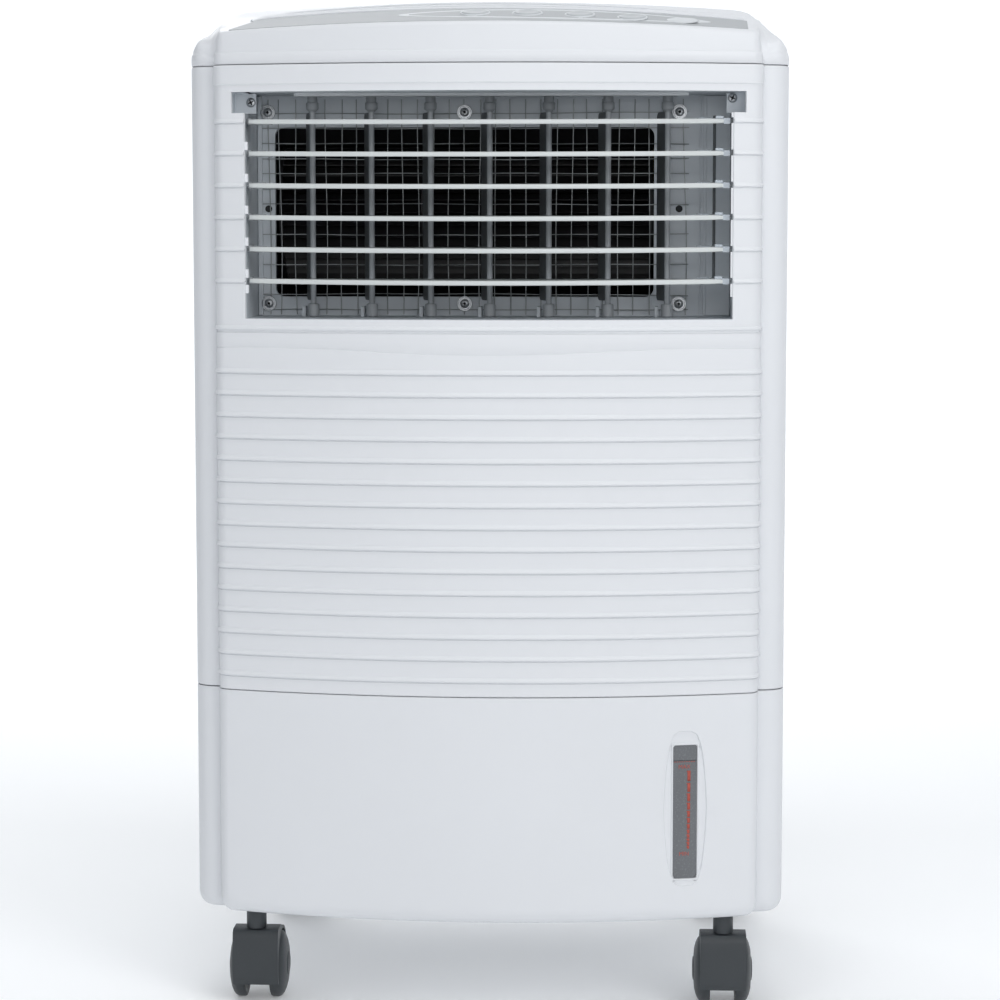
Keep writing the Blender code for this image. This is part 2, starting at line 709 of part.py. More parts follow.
def make_vanes():
    blade = box((-0.0008, 0.001, 0.5230), (0.0008, VANE_CHORD, 0.6600))
    blade.data.transform(Matrix.Rotation(VANE_TURN, 4, "Z"))
    boss = rod((0, 0, 0.5114), (0, 0, 0.5205), 0.0045, 8)
    head = rod((0, 0, 0.6625), (0, 0, 0.6702), 0.0052, 8)
    neck = rod((0, 0, 0.6690), (0, 0, 0.6726), 0.0038, 8)
    crank = box((-0.0024, -0.0035, 0.6768), (0.0024, VANE_CRANK + 0.0024, 0.6795))
    crank_pin = rod((0, VANE_CRANK, 0.6780), (0, VANE_CRANK, 0.6835), CRANK_PIN_RADIUS, 6)
    spindle = rod((0, 0, 0.5092), (0, 0, 0.6900), VANE_ROD_RADIUS, 8)
    shape = combined(spindle, [blade, boss, head, neck, crank, crank_pin])
    first = None
    for index, x in enumerate(vane_places()):
        name = f"vane_{index + 1}"
        if first:
            twin(name, first, (x, VANE_AXIS_Y, 0))
        else:
            first = part(name, shape, "rod_grey", (x, VANE_AXIS_Y, 0))
    start = vane_places()[0]
    length = vane_places()[-1] - start
    bar = box((-0.004, -0.0020, 0.6799), (length + 0.004, 0.0020, 0.6824))
    eyes = []
    for x in vane_places():
        eyes.append(rod((x - start, 0, 0.67), (x - start, 0, 0.69), 0.0017, 6))
    part("vane_link", combined(bar, [], eyes), "rod_grey", (start, VANE_AXIS_Y + VANE_CRANK, 0))
    last = vane_places()[-1]
    motor = rod((last, VANE_AXIS_Y, 0.6850), (last, VANE_AXIS_Y, 0.7010), 0.014, 20)
    socket = rod((last, VANE_AXIS_Y, 0.6800), (last, VANE_AXIS_Y, 0.6920), 0.0030, 10)
    part("vane_motor", combined(motor, [], [socket]), "steel")


def make_blower():
    centre = (BLOWER_Y, BLOWER_Z)
    front_y = FLANGE_Y + WALL + GAP
    scroll_out = arc(centre, (0.0625, 0.0695), 20, -90, 12)
    scroll_in = arc(centre, (0.0603, 0.0673), 20, -90, 12)
    floor_z = DUCT_LOW_Z - 0.0015
    scroll = [*scroll_out, (front_y, floor_z - SCROLL_WALL), (front_y, floor_z), *scroll_in[::-1]]
    ceiling_z = DUCT_HIGH_Z + 0.0015
    lip = arc(centre, 0.0603, 110, 128, 3)
    top_z = ceiling_z + SCROLL_WALL
    tongue = [(front_y, top_z), (TONGUE_Y, top_z), *lip, (front_y, ceiling_z)]
    left, right = DUCT_LEFT_X - 0.0025, DUCT_RIGHT_X + 0.0025
    walls = [prism(outline, "X", left - 0.001, right + 0.001) for outline in (scroll, tongue)]
    plate = rectangle(front_y, 0.048, 0.5170, 0.6560, 0.010)
    ends = [prism(plate, "X", left - 0.0025, left), prism(plate, "X", right, right + 0.0025)]
    bores = [
        rod((left - 0.01, *centre), (left + 0.01, *centre), 0.0046),
        rod((right - 0.01, *centre), (right + 0.01, *centre), 0.0060),
    ]
    part("blower_housing", combined(walls[0], [walls[1], *ends], bores), "black_plastic")

    wheel_left, wheel_right = left + 0.0035, right - 0.0035
    radius = BLOWER_RADIUS
    hub = rod((wheel_left, 0, 0), (wheel_left + 0.002, 0, 0), radius, 24)
    hub_right = rod((wheel_right - 0.002, 0, 0), (wheel_right, 0, 0), radius, 24)
    blades = []
    for index in range(BLOWER_BLADES):
        blade = box((wheel_left + 0.001, -0.0005, -0.005), (wheel_right - 0.001, 0.0005, 0.005))
        lean = Matrix.Rotation(math.radians(30), 4, "X")
        lift = Matrix.Translation((0, 0, radius - 0.0065))
        round_axis = Matrix.Rotation(2 * math.pi * index / BLOWER_BLADES, 4, "X")
        blade.data.transform(round_axis @ lift @ lean)
        blades.append(blade)
    shafts = [
        rod((left - 0.0020, 0, 0), (wheel_left + 0.001, 0, 0), SHAFT_RADIUS),
        rod((wheel_right - 0.001, 0, 0), (0.150, 0, 0), SHAFT_RADIUS),
    ]
    wheel = combined(hub, [gathered(blades), hub_right, *shafts])
    part("blower_wheel", wheel, "black_plastic", (0, *centre))

    motor = rod((right + 0.0035, *centre), (0.1850, *centre), MOTOR_RADIUS, 24)
    bore = rod((0.120, *centre), (0.152, *centre), SHAFT_RADIUS + 0.0006)
    part("blower_motor", combined(motor, [], [bore]), "steel")


def make_wet_parts():
    half = PAD_HALF_WIDTH
    pad = box((-half, PAD_FRONT_Y, PAD_LOW_Z), (half, PAD_BACK_Y, PAD_HIGH_Z))
    part("cooling_pad", pad, "pad_brown")
    trough = box((-0.168, 0.126, 0.6700), (0.168, 0.168, 0.6880))
    hollow = box((-0.166, 0.128, 0.6720), (0.166, 0.166, 0.70))
    drips = [rod((x, 0.147, 0.66), (x, 0.147, 0.68), 0.002, 6) for x in (-0.14, -0.08, -0.02, 0.04, 0.10)]
    part("water_tray", combined(trough, [], [hollow, *drips]), "black_plastic")

    wide = TANK_HALF_WIDTH
    tub = box((-wide, TANK_FRONT_Y, TANK_LOW_Z), (wide, 0.1865, TANK_HIGH_Z))
    panel = box((-0.1637, 0.1858, TANK_LOW_Z), (0.1637, 0.1884, 0.2267))
    cup = box((-0.0475, 0.1720, 0.1825), (0.0475, 0.1870, 0.2075))
    water = box((-wide + WALL, TANK_FRONT_Y + WALL, TANK_LOW_Z + WALL), (wide - WALL, 0.1840, 0.25))
    tank = combined(combined(tub, [panel], [water]), [cup], [])
    grip = box((-0.045, 0.1745, 0.1850), (0.045, 0.20, 0.2050))
    part("water_tank", combined(tank, [], [grip]), "white_plastic")

    latch = box((0, 0.1887, -0.0035), (0.024, 0.1907, 0.0035))
    head = rod((0, 0.1887, 0), (0, 0.1908, 0), 0.0055, 16)
    pivot = rod((0, 0.1862, 0), (0, 0.1895, 0), 0.0031, 12)
    part("tank_latch", combined(head, [latch, pivot]), "white_plastic", (0, 0, LATCH_Z))

    body = rod((PUMP_X, PUMP_Y, 0.098), (PUMP_X, PUMP_Y, 0.138), 0.022, 20)
    nozzle = rod((PUMP_X, PUMP_Y, 0.137), (PUMP_X, PUMP_Y, 0.150), 0.0045, 10)
    left, right, front_y = PUMP_X - 0.008, PUMP_X + 0.008, PUMP_Y + 0.010
    hanger = box((left, front_y, 0.130), (right, front_y + 0.003, 0.262))
    foot = box((left, front_y, 0.2585), (right, 0.1857, 0.2615))
    part("pump", combined(body, [nozzle, hanger, foot]), "black_plastic")


def smooth_route(points, steps):
    """A Catmull-Rom curve through the points."""
    route = [Vector(point) for point in points]
    ends = [2 * route[0] - route[1], *route, 2 * route[-1] - route[-2]]
    smooth = []
    for before, start, end, after in zip(ends, ends[1:], ends[2:], ends[3:]):
        for step in range(steps):
            t = step / steps
            smooth.append(
                0.5
                * (
                    2 * start
                    + (end - before) * t
                    + (2 * before - 5 * start + 4 * end - after) * t * t
                    + (3 * start - before - 3 * end + after) * t**3
                )
            )
    smooth.append(route[-1])
    return smooth


HOSE_ROUTE = (
    (PUMP_X, PUMP_Y, 0.1506),
    (PUMP_X, PUMP_Y - 0.001, 0.180),
    (0.126, 0.142, 0.225),
    (0.160, 0.120, 0.262),
    (0.183, 0.114, 0.310),
    (0.186, 0.114, 0.420),
    (0.186, 0.114, 0.560),
    (0.185, 0.114, 0.640),
    (0.183, 0.119, 0.682),
    (0.174, 0.133, 0.702),
    (0.160, 0.146, 0.700),
    (0.153, 0.149, 0.684),
)


def make_hose():
    curve = bpy.data.curves.new("water_hose", "CURVE")
    curve.dimensions = "3D"
    curve.bevel_depth = 0.004
    curve.bevel_resolution = 2
    curve.use_fill_caps = True
    points = smooth_route(HOSE_ROUTE, 2)
    spline = curve.splines.new("POLY")
    spline.points.add(len(points) - 1)
    for place, point in zip(spline.points, points):
        place.co = (*point, 1)
    part("water_hose", piece(curve), "clear_hose")


def make_rear_grille():
    plate = box((-0.178, 0.1888, 0.2565), (0.178, REARMOST_Y, 0.6735))
    skirt = box((-0.1717, 0.1640, 0.2628), (0.1717, 0.1895, 0.6672))
    hollow = box((-0.1697, 0.16, 0.2648), (0.1697, 0.1890, 0.6652))
    low, high, bar = 0.2700, 0.6600, 0.010
    pitch = (high - low + bar) / SLOT_ROWS
    slots = []
    for row in range(SLOT_ROWS):
        z = low + pitch * row
        for left, right in ((-0.160, -0.004), (0.004, 0.160)):
            slots.append(box((left, 0.18, z), (right, 0.2, z + pitch - bar)))
    part("rear_grille", combined(plate, [skirt], [hollow, gathered(slots)]), "white_plastic")
    part("dust_filter", box((-0.1690, 0.1660, 0.2655), (0.1690, 0.1690, 0.6645)), "filter_black")

    flange = rod((GLAND_X, 0.1888, GLAND_Z), (GLAND_X, 0.1908, GLAND_Z), 0.0090, 16)
    shank = rod((GLAND_X, 0.1820, GLAND_Z), (GLAND_X, 0.1895, GLAND_Z), 0.0058, 16)
    hole = rod((GLAND_X, 0.17, GLAND_Z), (GLAND_X, 0.2, GLAND_Z), 0.0036, 12)
    part("cord_gland", combined(flange, [shank], [hole]), "charcoal")


def make_casters():
    axle = (CASTER_TRAIL, WHEEL_RADIUS)
    fender = arc(axle, HOOD_RADIUS, HOOD_START, HOOD_END, 9)
    fender += arc(axle, HOOD_INSIDE, HOOD_END, HOOD_START, 9)
    web = arc(axle, HOOD_RADIUS - 0.0010, HOOD_START, HOOD_END, 8)
    hood = combined(
        prism(fender, "X", -0.017, 0.017),
        [
            prism(web, "X", -0.0080, 0.0080),
            rod((0, 0, 0.0400), (0, 0, 0.0553), 0.0085, 12),
            rod((-0.0185, *axle), (0.0185, *axle), 0.0030, 8),
        ],
        [rod((0, 0, 0.0430), (0, 0, 0.0600), 0.0053, 10)],
    )
    stem = combined(
        rod((0, 0, 0.0445), (0, 0, 0.0960), STEM_RADIUS, 10),
        [rod((0, 0, 0.0557), (0, 0, 0.0755), COLLAR_RADIUS, 12)],
    )
    profile = (
        (0, 0.0225),
        (0.0190, 0.0208),
        (0.0236, 0.0182),
        (0.0250, 0.0155),
        (0.0250, 0.0092),
        (0.0034, 0.0092),
        (0.0034, 0.0192),
        (0, 0.0192),
    )
    wheel = turned(profile, 16, Matrix.Rotation(math.pi / 2, 4, "Y"))
    hoods = []
    for end, y in (("front", CASTER_FRONT_Y), ("rear", CASTER_BACK_Y)):
        for side, x in (("left", -CASTER_X), ("right", CASTER_X)):
            name = f"caster_{end}_{side}"
            wheel_at = (x, y + CASTER_TRAIL, WHEEL_RADIUS)
            turned_about = (0, 0, math.pi)
            if hoods:
                twin(f"{name}_hood", hoods[0], (x, y, 0))
                twin(f"{name}_stem", hoods[1], (x, y, 0))
                twin(f"{name}_wheel_b", hoods[2], wheel_at)
            else:
                hoods.append(part(f"{name}_hood", hood, "charcoal", (x, y, 0)))
                hoods.append(part(f"{name}_stem", stem, "charcoal", (x, y, 0)))
                hoods.append(part(f"{name}_wheel_b", wheel, "charcoal", wheel_at))
            twin(f"{name}_wheel_a", hoods[2], wheel_at, turned_about)


def main():
    start_scene()
    make_base_housing()
    make_level_window()
    make_front_shell()
    make_rear_shell()
    make_top_cover()
    make_controls()
    make_outlet_frame()
    make_wire_guard()
    make_louvers()
    make_vanes()
    make_blower()
    make_wet_parts()
    make_hose()
    make_rear_grille()
    make_casters()


main()
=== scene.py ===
"""Looks of the evaporative cooler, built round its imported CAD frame. Metres, +Z up, front towards -Y."""

import json
import math
import random

import bmesh
import bpy
from mathutils import Matrix, Vector
from mathutils.geometry import delaunay_2d_cdt

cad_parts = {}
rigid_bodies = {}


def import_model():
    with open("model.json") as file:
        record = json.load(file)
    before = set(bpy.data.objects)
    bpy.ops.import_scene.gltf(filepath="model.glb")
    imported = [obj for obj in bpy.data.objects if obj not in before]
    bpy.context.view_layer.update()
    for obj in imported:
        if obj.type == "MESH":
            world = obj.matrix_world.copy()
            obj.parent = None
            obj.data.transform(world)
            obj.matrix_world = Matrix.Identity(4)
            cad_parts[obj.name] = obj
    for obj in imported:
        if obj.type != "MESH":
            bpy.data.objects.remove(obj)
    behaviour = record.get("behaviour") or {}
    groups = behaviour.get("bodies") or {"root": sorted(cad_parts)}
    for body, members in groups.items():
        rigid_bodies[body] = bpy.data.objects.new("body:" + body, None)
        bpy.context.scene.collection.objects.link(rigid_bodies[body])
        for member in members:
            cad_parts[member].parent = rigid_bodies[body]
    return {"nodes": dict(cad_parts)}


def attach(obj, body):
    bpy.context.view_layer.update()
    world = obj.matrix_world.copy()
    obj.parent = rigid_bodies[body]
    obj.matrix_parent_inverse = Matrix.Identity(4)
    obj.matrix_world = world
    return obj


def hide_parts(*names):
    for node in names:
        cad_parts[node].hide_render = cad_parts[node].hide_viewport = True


# The frame's driving sizes
HALF, FRONT_HALF = 0.2165, 0.197
APEX_Y, BOW, STEP_Y, BACK_Y = -0.190, 0.032, -0.146, 0.1885
BOTTOM_Z, BASE_SEAM, COVER_SEAM = 0.0741, 0.2403, 0.6922
WALL, SEAM_GAP = 0.0025, 0.00018
BOW_RADIUS = (FRONT_HALF**2 + BOW**2) / (2 * BOW)
BOW_CENTRE_Y = APEX_Y + BOW_RADIUS
OUTLET_HALF, NOTCH_HALF = 0.174, 0.1835
OUTLET_RIGHT, NOTCH_RIGHT = 0.1763, 0.1850
OUTLET_LOW, OUTLET_HIGH, NOTCH_LOW = 0.511, 0.673, 0.658
NOTCH_Y, FLANGE_Y = -0.141, -0.090
DUCT = (-0.161, 0.120, 0.525, 0.650)
RIBS = [0.2526 + 0.01578 * index for index in range(15)]
LOUVERS = [0.6524 - 0.0228 * index for index in range(6)]
VANES = [0.0432 * (index - 3) for index in range(7)]
LOUVER_Y, VANE_Y = -0.150, -0.120
BLOWER_Y, BLOWER_Z = -0.020, 0.590
PANEL_SLOPE = math.radians(14)
WINDOW_X, WINDOW_LOW, WINDOW_HIGH = 0.1443, 0.0926, 0.2171
PANE_LOW, PANE_TALL, PANE_HALF = WINDOW_LOW + 0.0122, 0.1002, 0.0088
BAY_HALF, BAY_LOW, BAY_HIGH, BAY_FRONT, BAY_BACK = 0.1645, 0.0887, 0.2275, -0.138, 0.1862
GRILLE_OPENING = (0.1725, 0.262, 0.668)
GRIP_Y, GRIP_Z = 0.005, 0.601
SIDE_CORNER, BACK_CORNER = 0.017, 0.020
CASTERS = {
    "front_left": (-0.1735, -0.133),
    "front_right": (0.1735, -0.133),
    "rear_left": (-0.1735, 0.145),
    "rear_right": (0.1735, 0.145),
}
TRAIL, WHEEL_RADIUS = 0.018, 0.025


def bow_y(x):
    """Y of the bowed front face."""
    return BOW_CENTRE_Y - math.sqrt(BOW_RADIUS**2 - x * x)


def bow_length(x):
    """Distance along the bowed front face from its middle."""
    return BOW_RADIUS * math.asin(x / BOW_RADIUS)


# ---------------------------------------------------------------- materials


def new_material(name):
    material = bpy.data.materials.new(name)
    material.use_nodes = True
    return material, material.node_tree, material.node_tree.nodes["Principled BSDF"]


def noise(tree, scale, detail, stretch=(1, 1, 1)):
    """A noise in the piece's own metres; scale is in features per metre."""
    where = tree.nodes.new("ShaderNodeTexCoord")
    mapping = tree.nodes.new("ShaderNodeMapping")
    mapping.inputs["Scale"].default_value = stretch
    texture = tree.nodes.new("ShaderNodeTexNoise")
    texture.inputs["Scale"].default_value = scale
    texture.inputs["Detail"].default_value = detail
    tree.links.new(where.outputs["Object"], mapping.inputs["Vector"])
    tree.links.new(mapping.outputs["Vector"], texture.inputs["Vector"])
    return texture.outputs["Fac"]


def ramp(tree, source, stops):
    node = tree.nodes.new("ShaderNodeValToRGB")
    node.color_ramp.elements[0].position = stops[0][0]
    node.color_ramp.elements[0].color = (*stops[0][1], 1)
    node.color_ramp.elements[1].position = stops[-1][0]
    node.color_ramp.elements[1].color = (*stops[-1][1], 1)
    for position, colour in stops[1:-1]:
        node.color_ramp.elements.new(position).color = (*colour, 1)
    tree.links.new(source, node.inputs["Fac"])
    return node.outputs["Color"]


def spread_value(tree, source, low, high):
    node = tree.nodes.new("ShaderNodeMapRange")
    node.inputs["From Min"].default_value = 0.3
    node.inputs["From Max"].default_value = 0.7
    node.inputs["To Min"].default_value = low
    node.inputs["To Max"].default_value = high
    tree.links.new(source, node.inputs["Value"])
    return node.outputs["Result"]


def bump(tree, shader, source, strength, distance):
    node = tree.nodes.new("ShaderNodeBump")
    node.inputs["Strength"].default_value = strength
    node.inputs["Distance"].default_value = distance
    tree.links.new(source, node.inputs["Height"])
    tree.links.new(node.outputs["Normal"], shader.inputs["Normal"])


def tinted(colour, factor):
    return tuple(channel * factor for channel in colour)


def plastic(name, colour, roughness, grain, depth, vary, metallic=0.0, stretch=(1, 1, 1)):
    """Moulded plastic or metal: soft colour drift, fine spark-eroded grain, uneven gloss."""
    material, tree, shader = new_material(name)
    drift = noise(tree, 9, 4)
    stops = [(0.30, tinted(colour, 1 - vary)), (0.70, tinted(colour, 1 + vary))]
    tree.links.new(ramp(tree, drift, stops), shader.inputs["Base Color"])
    fine = noise(tree, grain, 2, stretch)
    tree.links.new(spread_value(tree, fine, roughness - 0.06, roughness + 0.06), shader.inputs["Roughness"])
    shader.inputs["Metallic"].default_value = metallic
    bump(tree, shader, fine, depth, 0.0002)
    return material


def clear_plastic(name, colour, roughness, transmission):
    material = plastic(name, colour, roughness, 500, 0.05, 0.06)
    shader = material.node_tree.nodes["Principled BSDF"]
    shader.inputs["Transmission Weight"].default_value = transmission
    shader.inputs["IOR"].default_value = 1.46
    return material


def window_material():
    """Smoked window with a faint cloud and a soft gloss."""
    material, tree, shader = new_material("smoked_window")
    cloud = noise(tree, 55, 3, (1, 1, 0.35))
    stops = [(0.25, (0.115, 0.122, 0.132)), (0.75, (0.135, 0.143, 0.154))]
    tree.links.new(ramp(tree, cloud, stops), shader.inputs["Base Color"])
    fine = noise(tree, 900, 2)
    tree.links.new(spread_value(tree, fine, 0.20, 0.30), shader.inputs["Roughness"])
    bump(tree, shader, fine, 0.04, 0.0001)
    shader.inputs["Coat Weight"].default_value = 0.3
    return material


def pad_material():
    """Waxed cellulose paper: warm brown, darker in the flutes, with paper fibre."""
    material, tree, shader = new_material("cellulose_pad")
    fibre = noise(tree, 260, 6, (1, 1, 4))
    stops = [(0.25, (0.15, 0.085, 0.035)), (0.55, (0.33, 0.21, 0.10)), (0.80, (0.46, 0.32, 0.17))]
    tree.links.new(ramp(tree, fibre, stops), shader.inputs["Base Color"])
    shader.inputs["Roughness"].default_value = 0.92
    bump(tree, shader, fibre, 0.6, 0.0006)
    return material


def filter_material():
    material, tree, shader = new_material("filter_mesh")
    where = tree.nodes.new("ShaderNodeTexCoord")
    weave = tree.nodes.new("ShaderNodeTexVoronoi")
    weave.inputs["Scale"].default_value = 420
    weave.inputs["Randomness"].default_value = 0.15
    tree.links.new(where.outputs["Object"], weave.inputs["Vector"])
    stops = [(0.10, (0.004, 0.004, 0.005)), (0.45, (0.05, 0.052, 0.055)), (0.60, (0.08, 0.082, 0.086))]
    tree.links.new(ramp(tree, weave.outputs["Distance"], stops), shader.inputs["Base Color"])
    shader.inputs["Roughness"].default_value = 0.8
    bump(tree, shader, weave.outputs["Distance"], 0.7, 0.0008)
    return material


def board_material():
    material, tree, shader = new_material("circuit_board")
    tracks = noise(tree, 160, 2, (4, 1, 1))
    stops = [(0.40, (0.015, 0.10, 0.03)), (0.52, (0.03, 0.20, 0.06)), (0.60, (0.40, 0.30, 0.10))]
    tree.links.new(ramp(tree, tracks, stops), shader.inputs["Base Color"])
    shader.inputs["Roughness"].default_value = 0.35
    bump(tree, shader, tracks, 0.2, 0.0002)
    return material


LOOKS = {
    "white": plastic("white_shell", (0.715, 0.731, 0.757), 0.42, 1500, 0.10, 0.008),
    "panel": plastic("panel_silver", (0.42, 0.438, 0.454), 0.58, 1800, 0.10, 0.02),
    "swoosh": plastic("panel_pale", (0.64, 0.665, 0.685), 0.52, 1800, 0.10, 0.02),
    "button": plastic("button_silver", (0.48, 0.502, 0.52), 0.50, 1800, 0.08, 0.02),
    "recess": plastic("recess_grey", (0.66, 0.70, 0.74), 0.50, 1300, 0.20, 0.05),
    "louver": plastic("louver_satin", (0.60, 0.628, 0.625), 0.34, 1500, 0.10, 0.03),
    "rod": plastic("vane_grey", (0.36, 0.38, 0.40), 0.45, 1200, 0.15, 0.06),
    "vane": plastic("vane_dark", (0.12, 0.13, 0.137), 0.50, 1200, 0.15, 0.08),
    "wire": plastic("guard_wire", (0.36, 0.38, 0.385), 0.42, 900, 0.25, 0.12, 0.5),
    "black": plastic("black_moulding", (0.012, 0.012, 0.013), 0.50, 1200, 0.20, 0.15),
    "charcoal": plastic("caster_nylon", (0.034, 0.040, 0.045), 0.46, 1100, 0.35, 0.10),
    "steel": plastic("bright_steel", (0.42, 0.435, 0.45), 0.34, 1600, 0.12, 0.05, 1.0, (1, 1, 8)),
    # dark: near-black painted shade for the screws' cross slots, the open screw holes and the strip at the
    # window's top
    "dark": plastic("painted_shade_gap", (0.02, 0.022, 0.025), 0.70, 900, 0.20, 0.10),
    "red": plastic("scale_red", (0.42, 0.075, 0.050), 0.50, 1500, 0.10, 0.10),
    "clip": clear_plastic("clip_clear", (0.62, 0.68, 0.74), 0.22, 0.35),
    "hose": clear_plastic("hose_clear", (0.74, 0.80, 0.82), 0.20, 0.55),
    "window": window_material(),
    "pad": pad_material(),
    "filter": filter_material(),
    "board": board_material(),
}

# ---------------------------------------------------------------- making pieces


def keep(solid, name, body, look, stands_for=(), sharp=35, bevel=0.0, thickness=0.0, bevel_angle=40):
    """Turns a bmesh into a named piece that rides on a body."""
    mesh = bpy.data.meshes.new(name)
    bmesh.ops.remove_doubles(solid, verts=solid.verts, dist=1e-6)
    solid.to_mesh(mesh)
    solid.free()
    shape = bpy.data.objects.new(name, mesh)
    bpy.context.scene.collection.objects.link(shape)
    if thickness:
        wall = shape.modifiers.new("Wall", "SOLIDIFY")
        wall.thickness = thickness
        wall.offset = -1
    if bevel:
        edge = shape.modifiers.new("Edge", "BEVEL")
        edge.width = bevel
        edge.segments = 3
        edge.limit_method = "ANGLE"
        edge.angle_limit = math.radians(bevel_angle)
        edge.harden_normals = True
    mesh.shade_smooth()
    mesh.set_sharp_from_angle(angle=math.radians(sharp))
    mesh.materials.append(LOOKS[look])
    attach(shape, body)
    if stands_for:
        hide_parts(*stands_for)
    return shape


def mesh_of(shape):
    """A new mesh of an object as its modifiers leave it."""
    graph = bpy.context.evaluated_depsgraph_get()
    return bpy.data.meshes.new_from_object(shape.evaluated_get(graph))


def dress(node, look, bevel=0.0006):
    """A CAD node that stays: its edges are eased and it gets a material."""
    shape = frame["nodes"][node]
    weld = shape.modifiers.new("Weld", "WELD")
    weld.merge_threshold = 0.00001
    if bevel:
        edge = shape.modifiers.new("Edge", "BEVEL")
        edge.width = bevel
        edge.segments = 2
        edge.limit_method = "ANGLE"
        edge.angle_limit = math.radians(40)
    shape.data.materials.clear()
    shape.data.materials.append(LOOKS[look])


def add_box(solid, low, high, turn=None):
    low, high = Vector(low), Vector(high)
    place = Matrix.Translation((low + high) / 2) @ Matrix.Diagonal((*(high - low), 1))
    made = bmesh.ops.create_cube(solid, size=1, matrix=place)
    if turn:
        bmesh.ops.transform(solid, matrix=turn, verts=made["verts"])


def bridge(solid, low, high):
    """Faces between two closed rings of the same length."""
    for index in range(len(low)):
        after = (index + 1) % len(low)
        solid.faces.new((low[index], low[after], high[after], high[index]))


def fill_grid(solid, rows, turned_over=False):
    """Faces between rows of vertices of the same length."""
    for low, high in zip(rows, rows[1:]):
        for column in range(len(low) - 1):
            corners = (low[column], low[column + 1], high[column + 1], high[column])
            solid.faces.new(corners[::-1] if turned_over else corners)


def add_tube(solid, rings):
    """Closed rings joined one after another, with a face on each end."""
    for low, high in zip(rings, rings[1:]):
        bridge(solid, low, high)
    solid.faces.new(rings[0][::-1])
    solid.faces.new(rings[-1])


def add_prism(solid, outline, half):
    """An outline of (y, z) carried from -half to half on X."""
    add_tube(solid, [[solid.verts.new((x, y, z)) for y, z in outline] for x in (-half, half)])
    bmesh.ops.recalc_face_normals(solid, faces=solid.faces)


def add_lathe(solid, profile, place, steps):
    """A profile of (radius, height) swept round Z, closed where it meets the axis."""
    rings = []
    for radius, height in profile:
        if radius < 1e-6:
            rings.append([solid.verts.new((0, 0, height))])
            continue
        angles = [2 * math.pi * step / steps for step in range(steps)]
        rings.append([solid.verts.new((radius * math.cos(a), radius * math.sin(a), height)) for a in angles])
    for low, high in zip(rings, rings[1:]):
        for step in range(steps):
            after = (step + 1) % steps
            corners = [low[step % len(low)], low[after % len(low)]]
            corners += [high[after % len(high)], high[step % len(high)]]
            corners = list(dict.fromkeys(corners))
            if len(corners) > 2:
                solid.faces.new(corners)
    bmesh.ops.transform(solid, matrix=place, verts=[v for ring in rings for v in ring])


def add_rod(solid, start, end, radius, steps=16):
    start, end = Vector(start), Vector(end)
    turn = (end - start).to_track_quat("Z", "Y").to_matrix().to_4x4()
    length = (end - start).length
    profile = ((0, 0), (radius, 0), (radius, length), (0, length))
    add_lathe(solid, profile, Matrix.Translation(start) @ turn, steps)


def add_sweep(solid, points, outline):
    """An outline of (sideways, up) offsets carried along points, kept upright."""
    rings = []
    for index, point in enumerate(points):
        before, after = points[max(index - 1, 0)], points[min(index + 1, len(points) - 1)]
        along = (Vector(after) - Vector(before)).normalized()
        side = along.cross(Vector((0, 0, 1)))
        side = side.normalized() if side.length > 1e-6 else Vector((1, 0, 0))
        up = side.cross(along)
        point = Vector(point)
        rings.append([solid.verts.new(point + side * across + up * height) for across, height in outline])
    add_tube(solid, rings)


def add_upright(solid, points, outline):
    """A sweep along points that rise: the outline stays level."""
    rings = [[solid.verts.new((x + across, y + along, z)) for across, along in outline] for x, y, z in points]
    add_tube(solid, rings)


def round_outline(radius, steps=8):
    angles = [2 * math.pi * step / steps for step in range(steps)]
    return [(radius * math.cos(a), radius * math.sin(a)) for a in angles]


def arc(centre, radius, start, end, steps):
    """Points of an arc, its angles in radians."""
    angles = [start + (end - start) * step / steps for step in range(steps + 1)]
    return [(centre[0] + radius * math.cos(a), centre[1] + radius * math.sin(a)) for a in angles]


def front_outline():
    """The front section from its left side round the bow to its right side, its corners rounded."""
    corner = 0.011
    centre_x = FRONT_HALF - corner
    centre_y = BOW_CENTRE_Y - math.sqrt((BOW_RADIUS - corner) ** 2 - centre_x**2)
    lean = math.atan2(centre_y - BOW_CENTRE_Y, centre_x)
    left = arc((-centre_x, centre_y), corner, -math.pi, -math.pi - lean, 10)
    bow = arc((0, BOW_CENTRE_Y), BOW_RADIUS, -math.pi - lean, lean, 120)[1:-1]
    right = arc((centre_x, centre_y), corner, lean, 0, 10)
    return [(-FRONT_HALF, STEP_Y), *left, *bow, *right, (FRONT_HALF, STEP_Y)]


def rear_outline(mouth=0.188):
    """The rear body from the right of its mouth round the back to the left of it."""
    start, end = STEP_Y + SIDE_CORNER, BACK_Y - BACK_CORNER
    quarter = math.pi / 2
    points = [(mouth, STEP_Y)]
    points += arc((HALF - SIDE_CORNER, start), SIDE_CORNER, -quarter, 0, 12)
    points += [(HALF, start + (end - start) * t / 12) for t in range(1, 12)]
    points += arc((HALF - BACK_CORNER, end), BACK_CORNER, 0, quarter, 12)
    return points + [(-x, y) for x, y in reversed(points)]


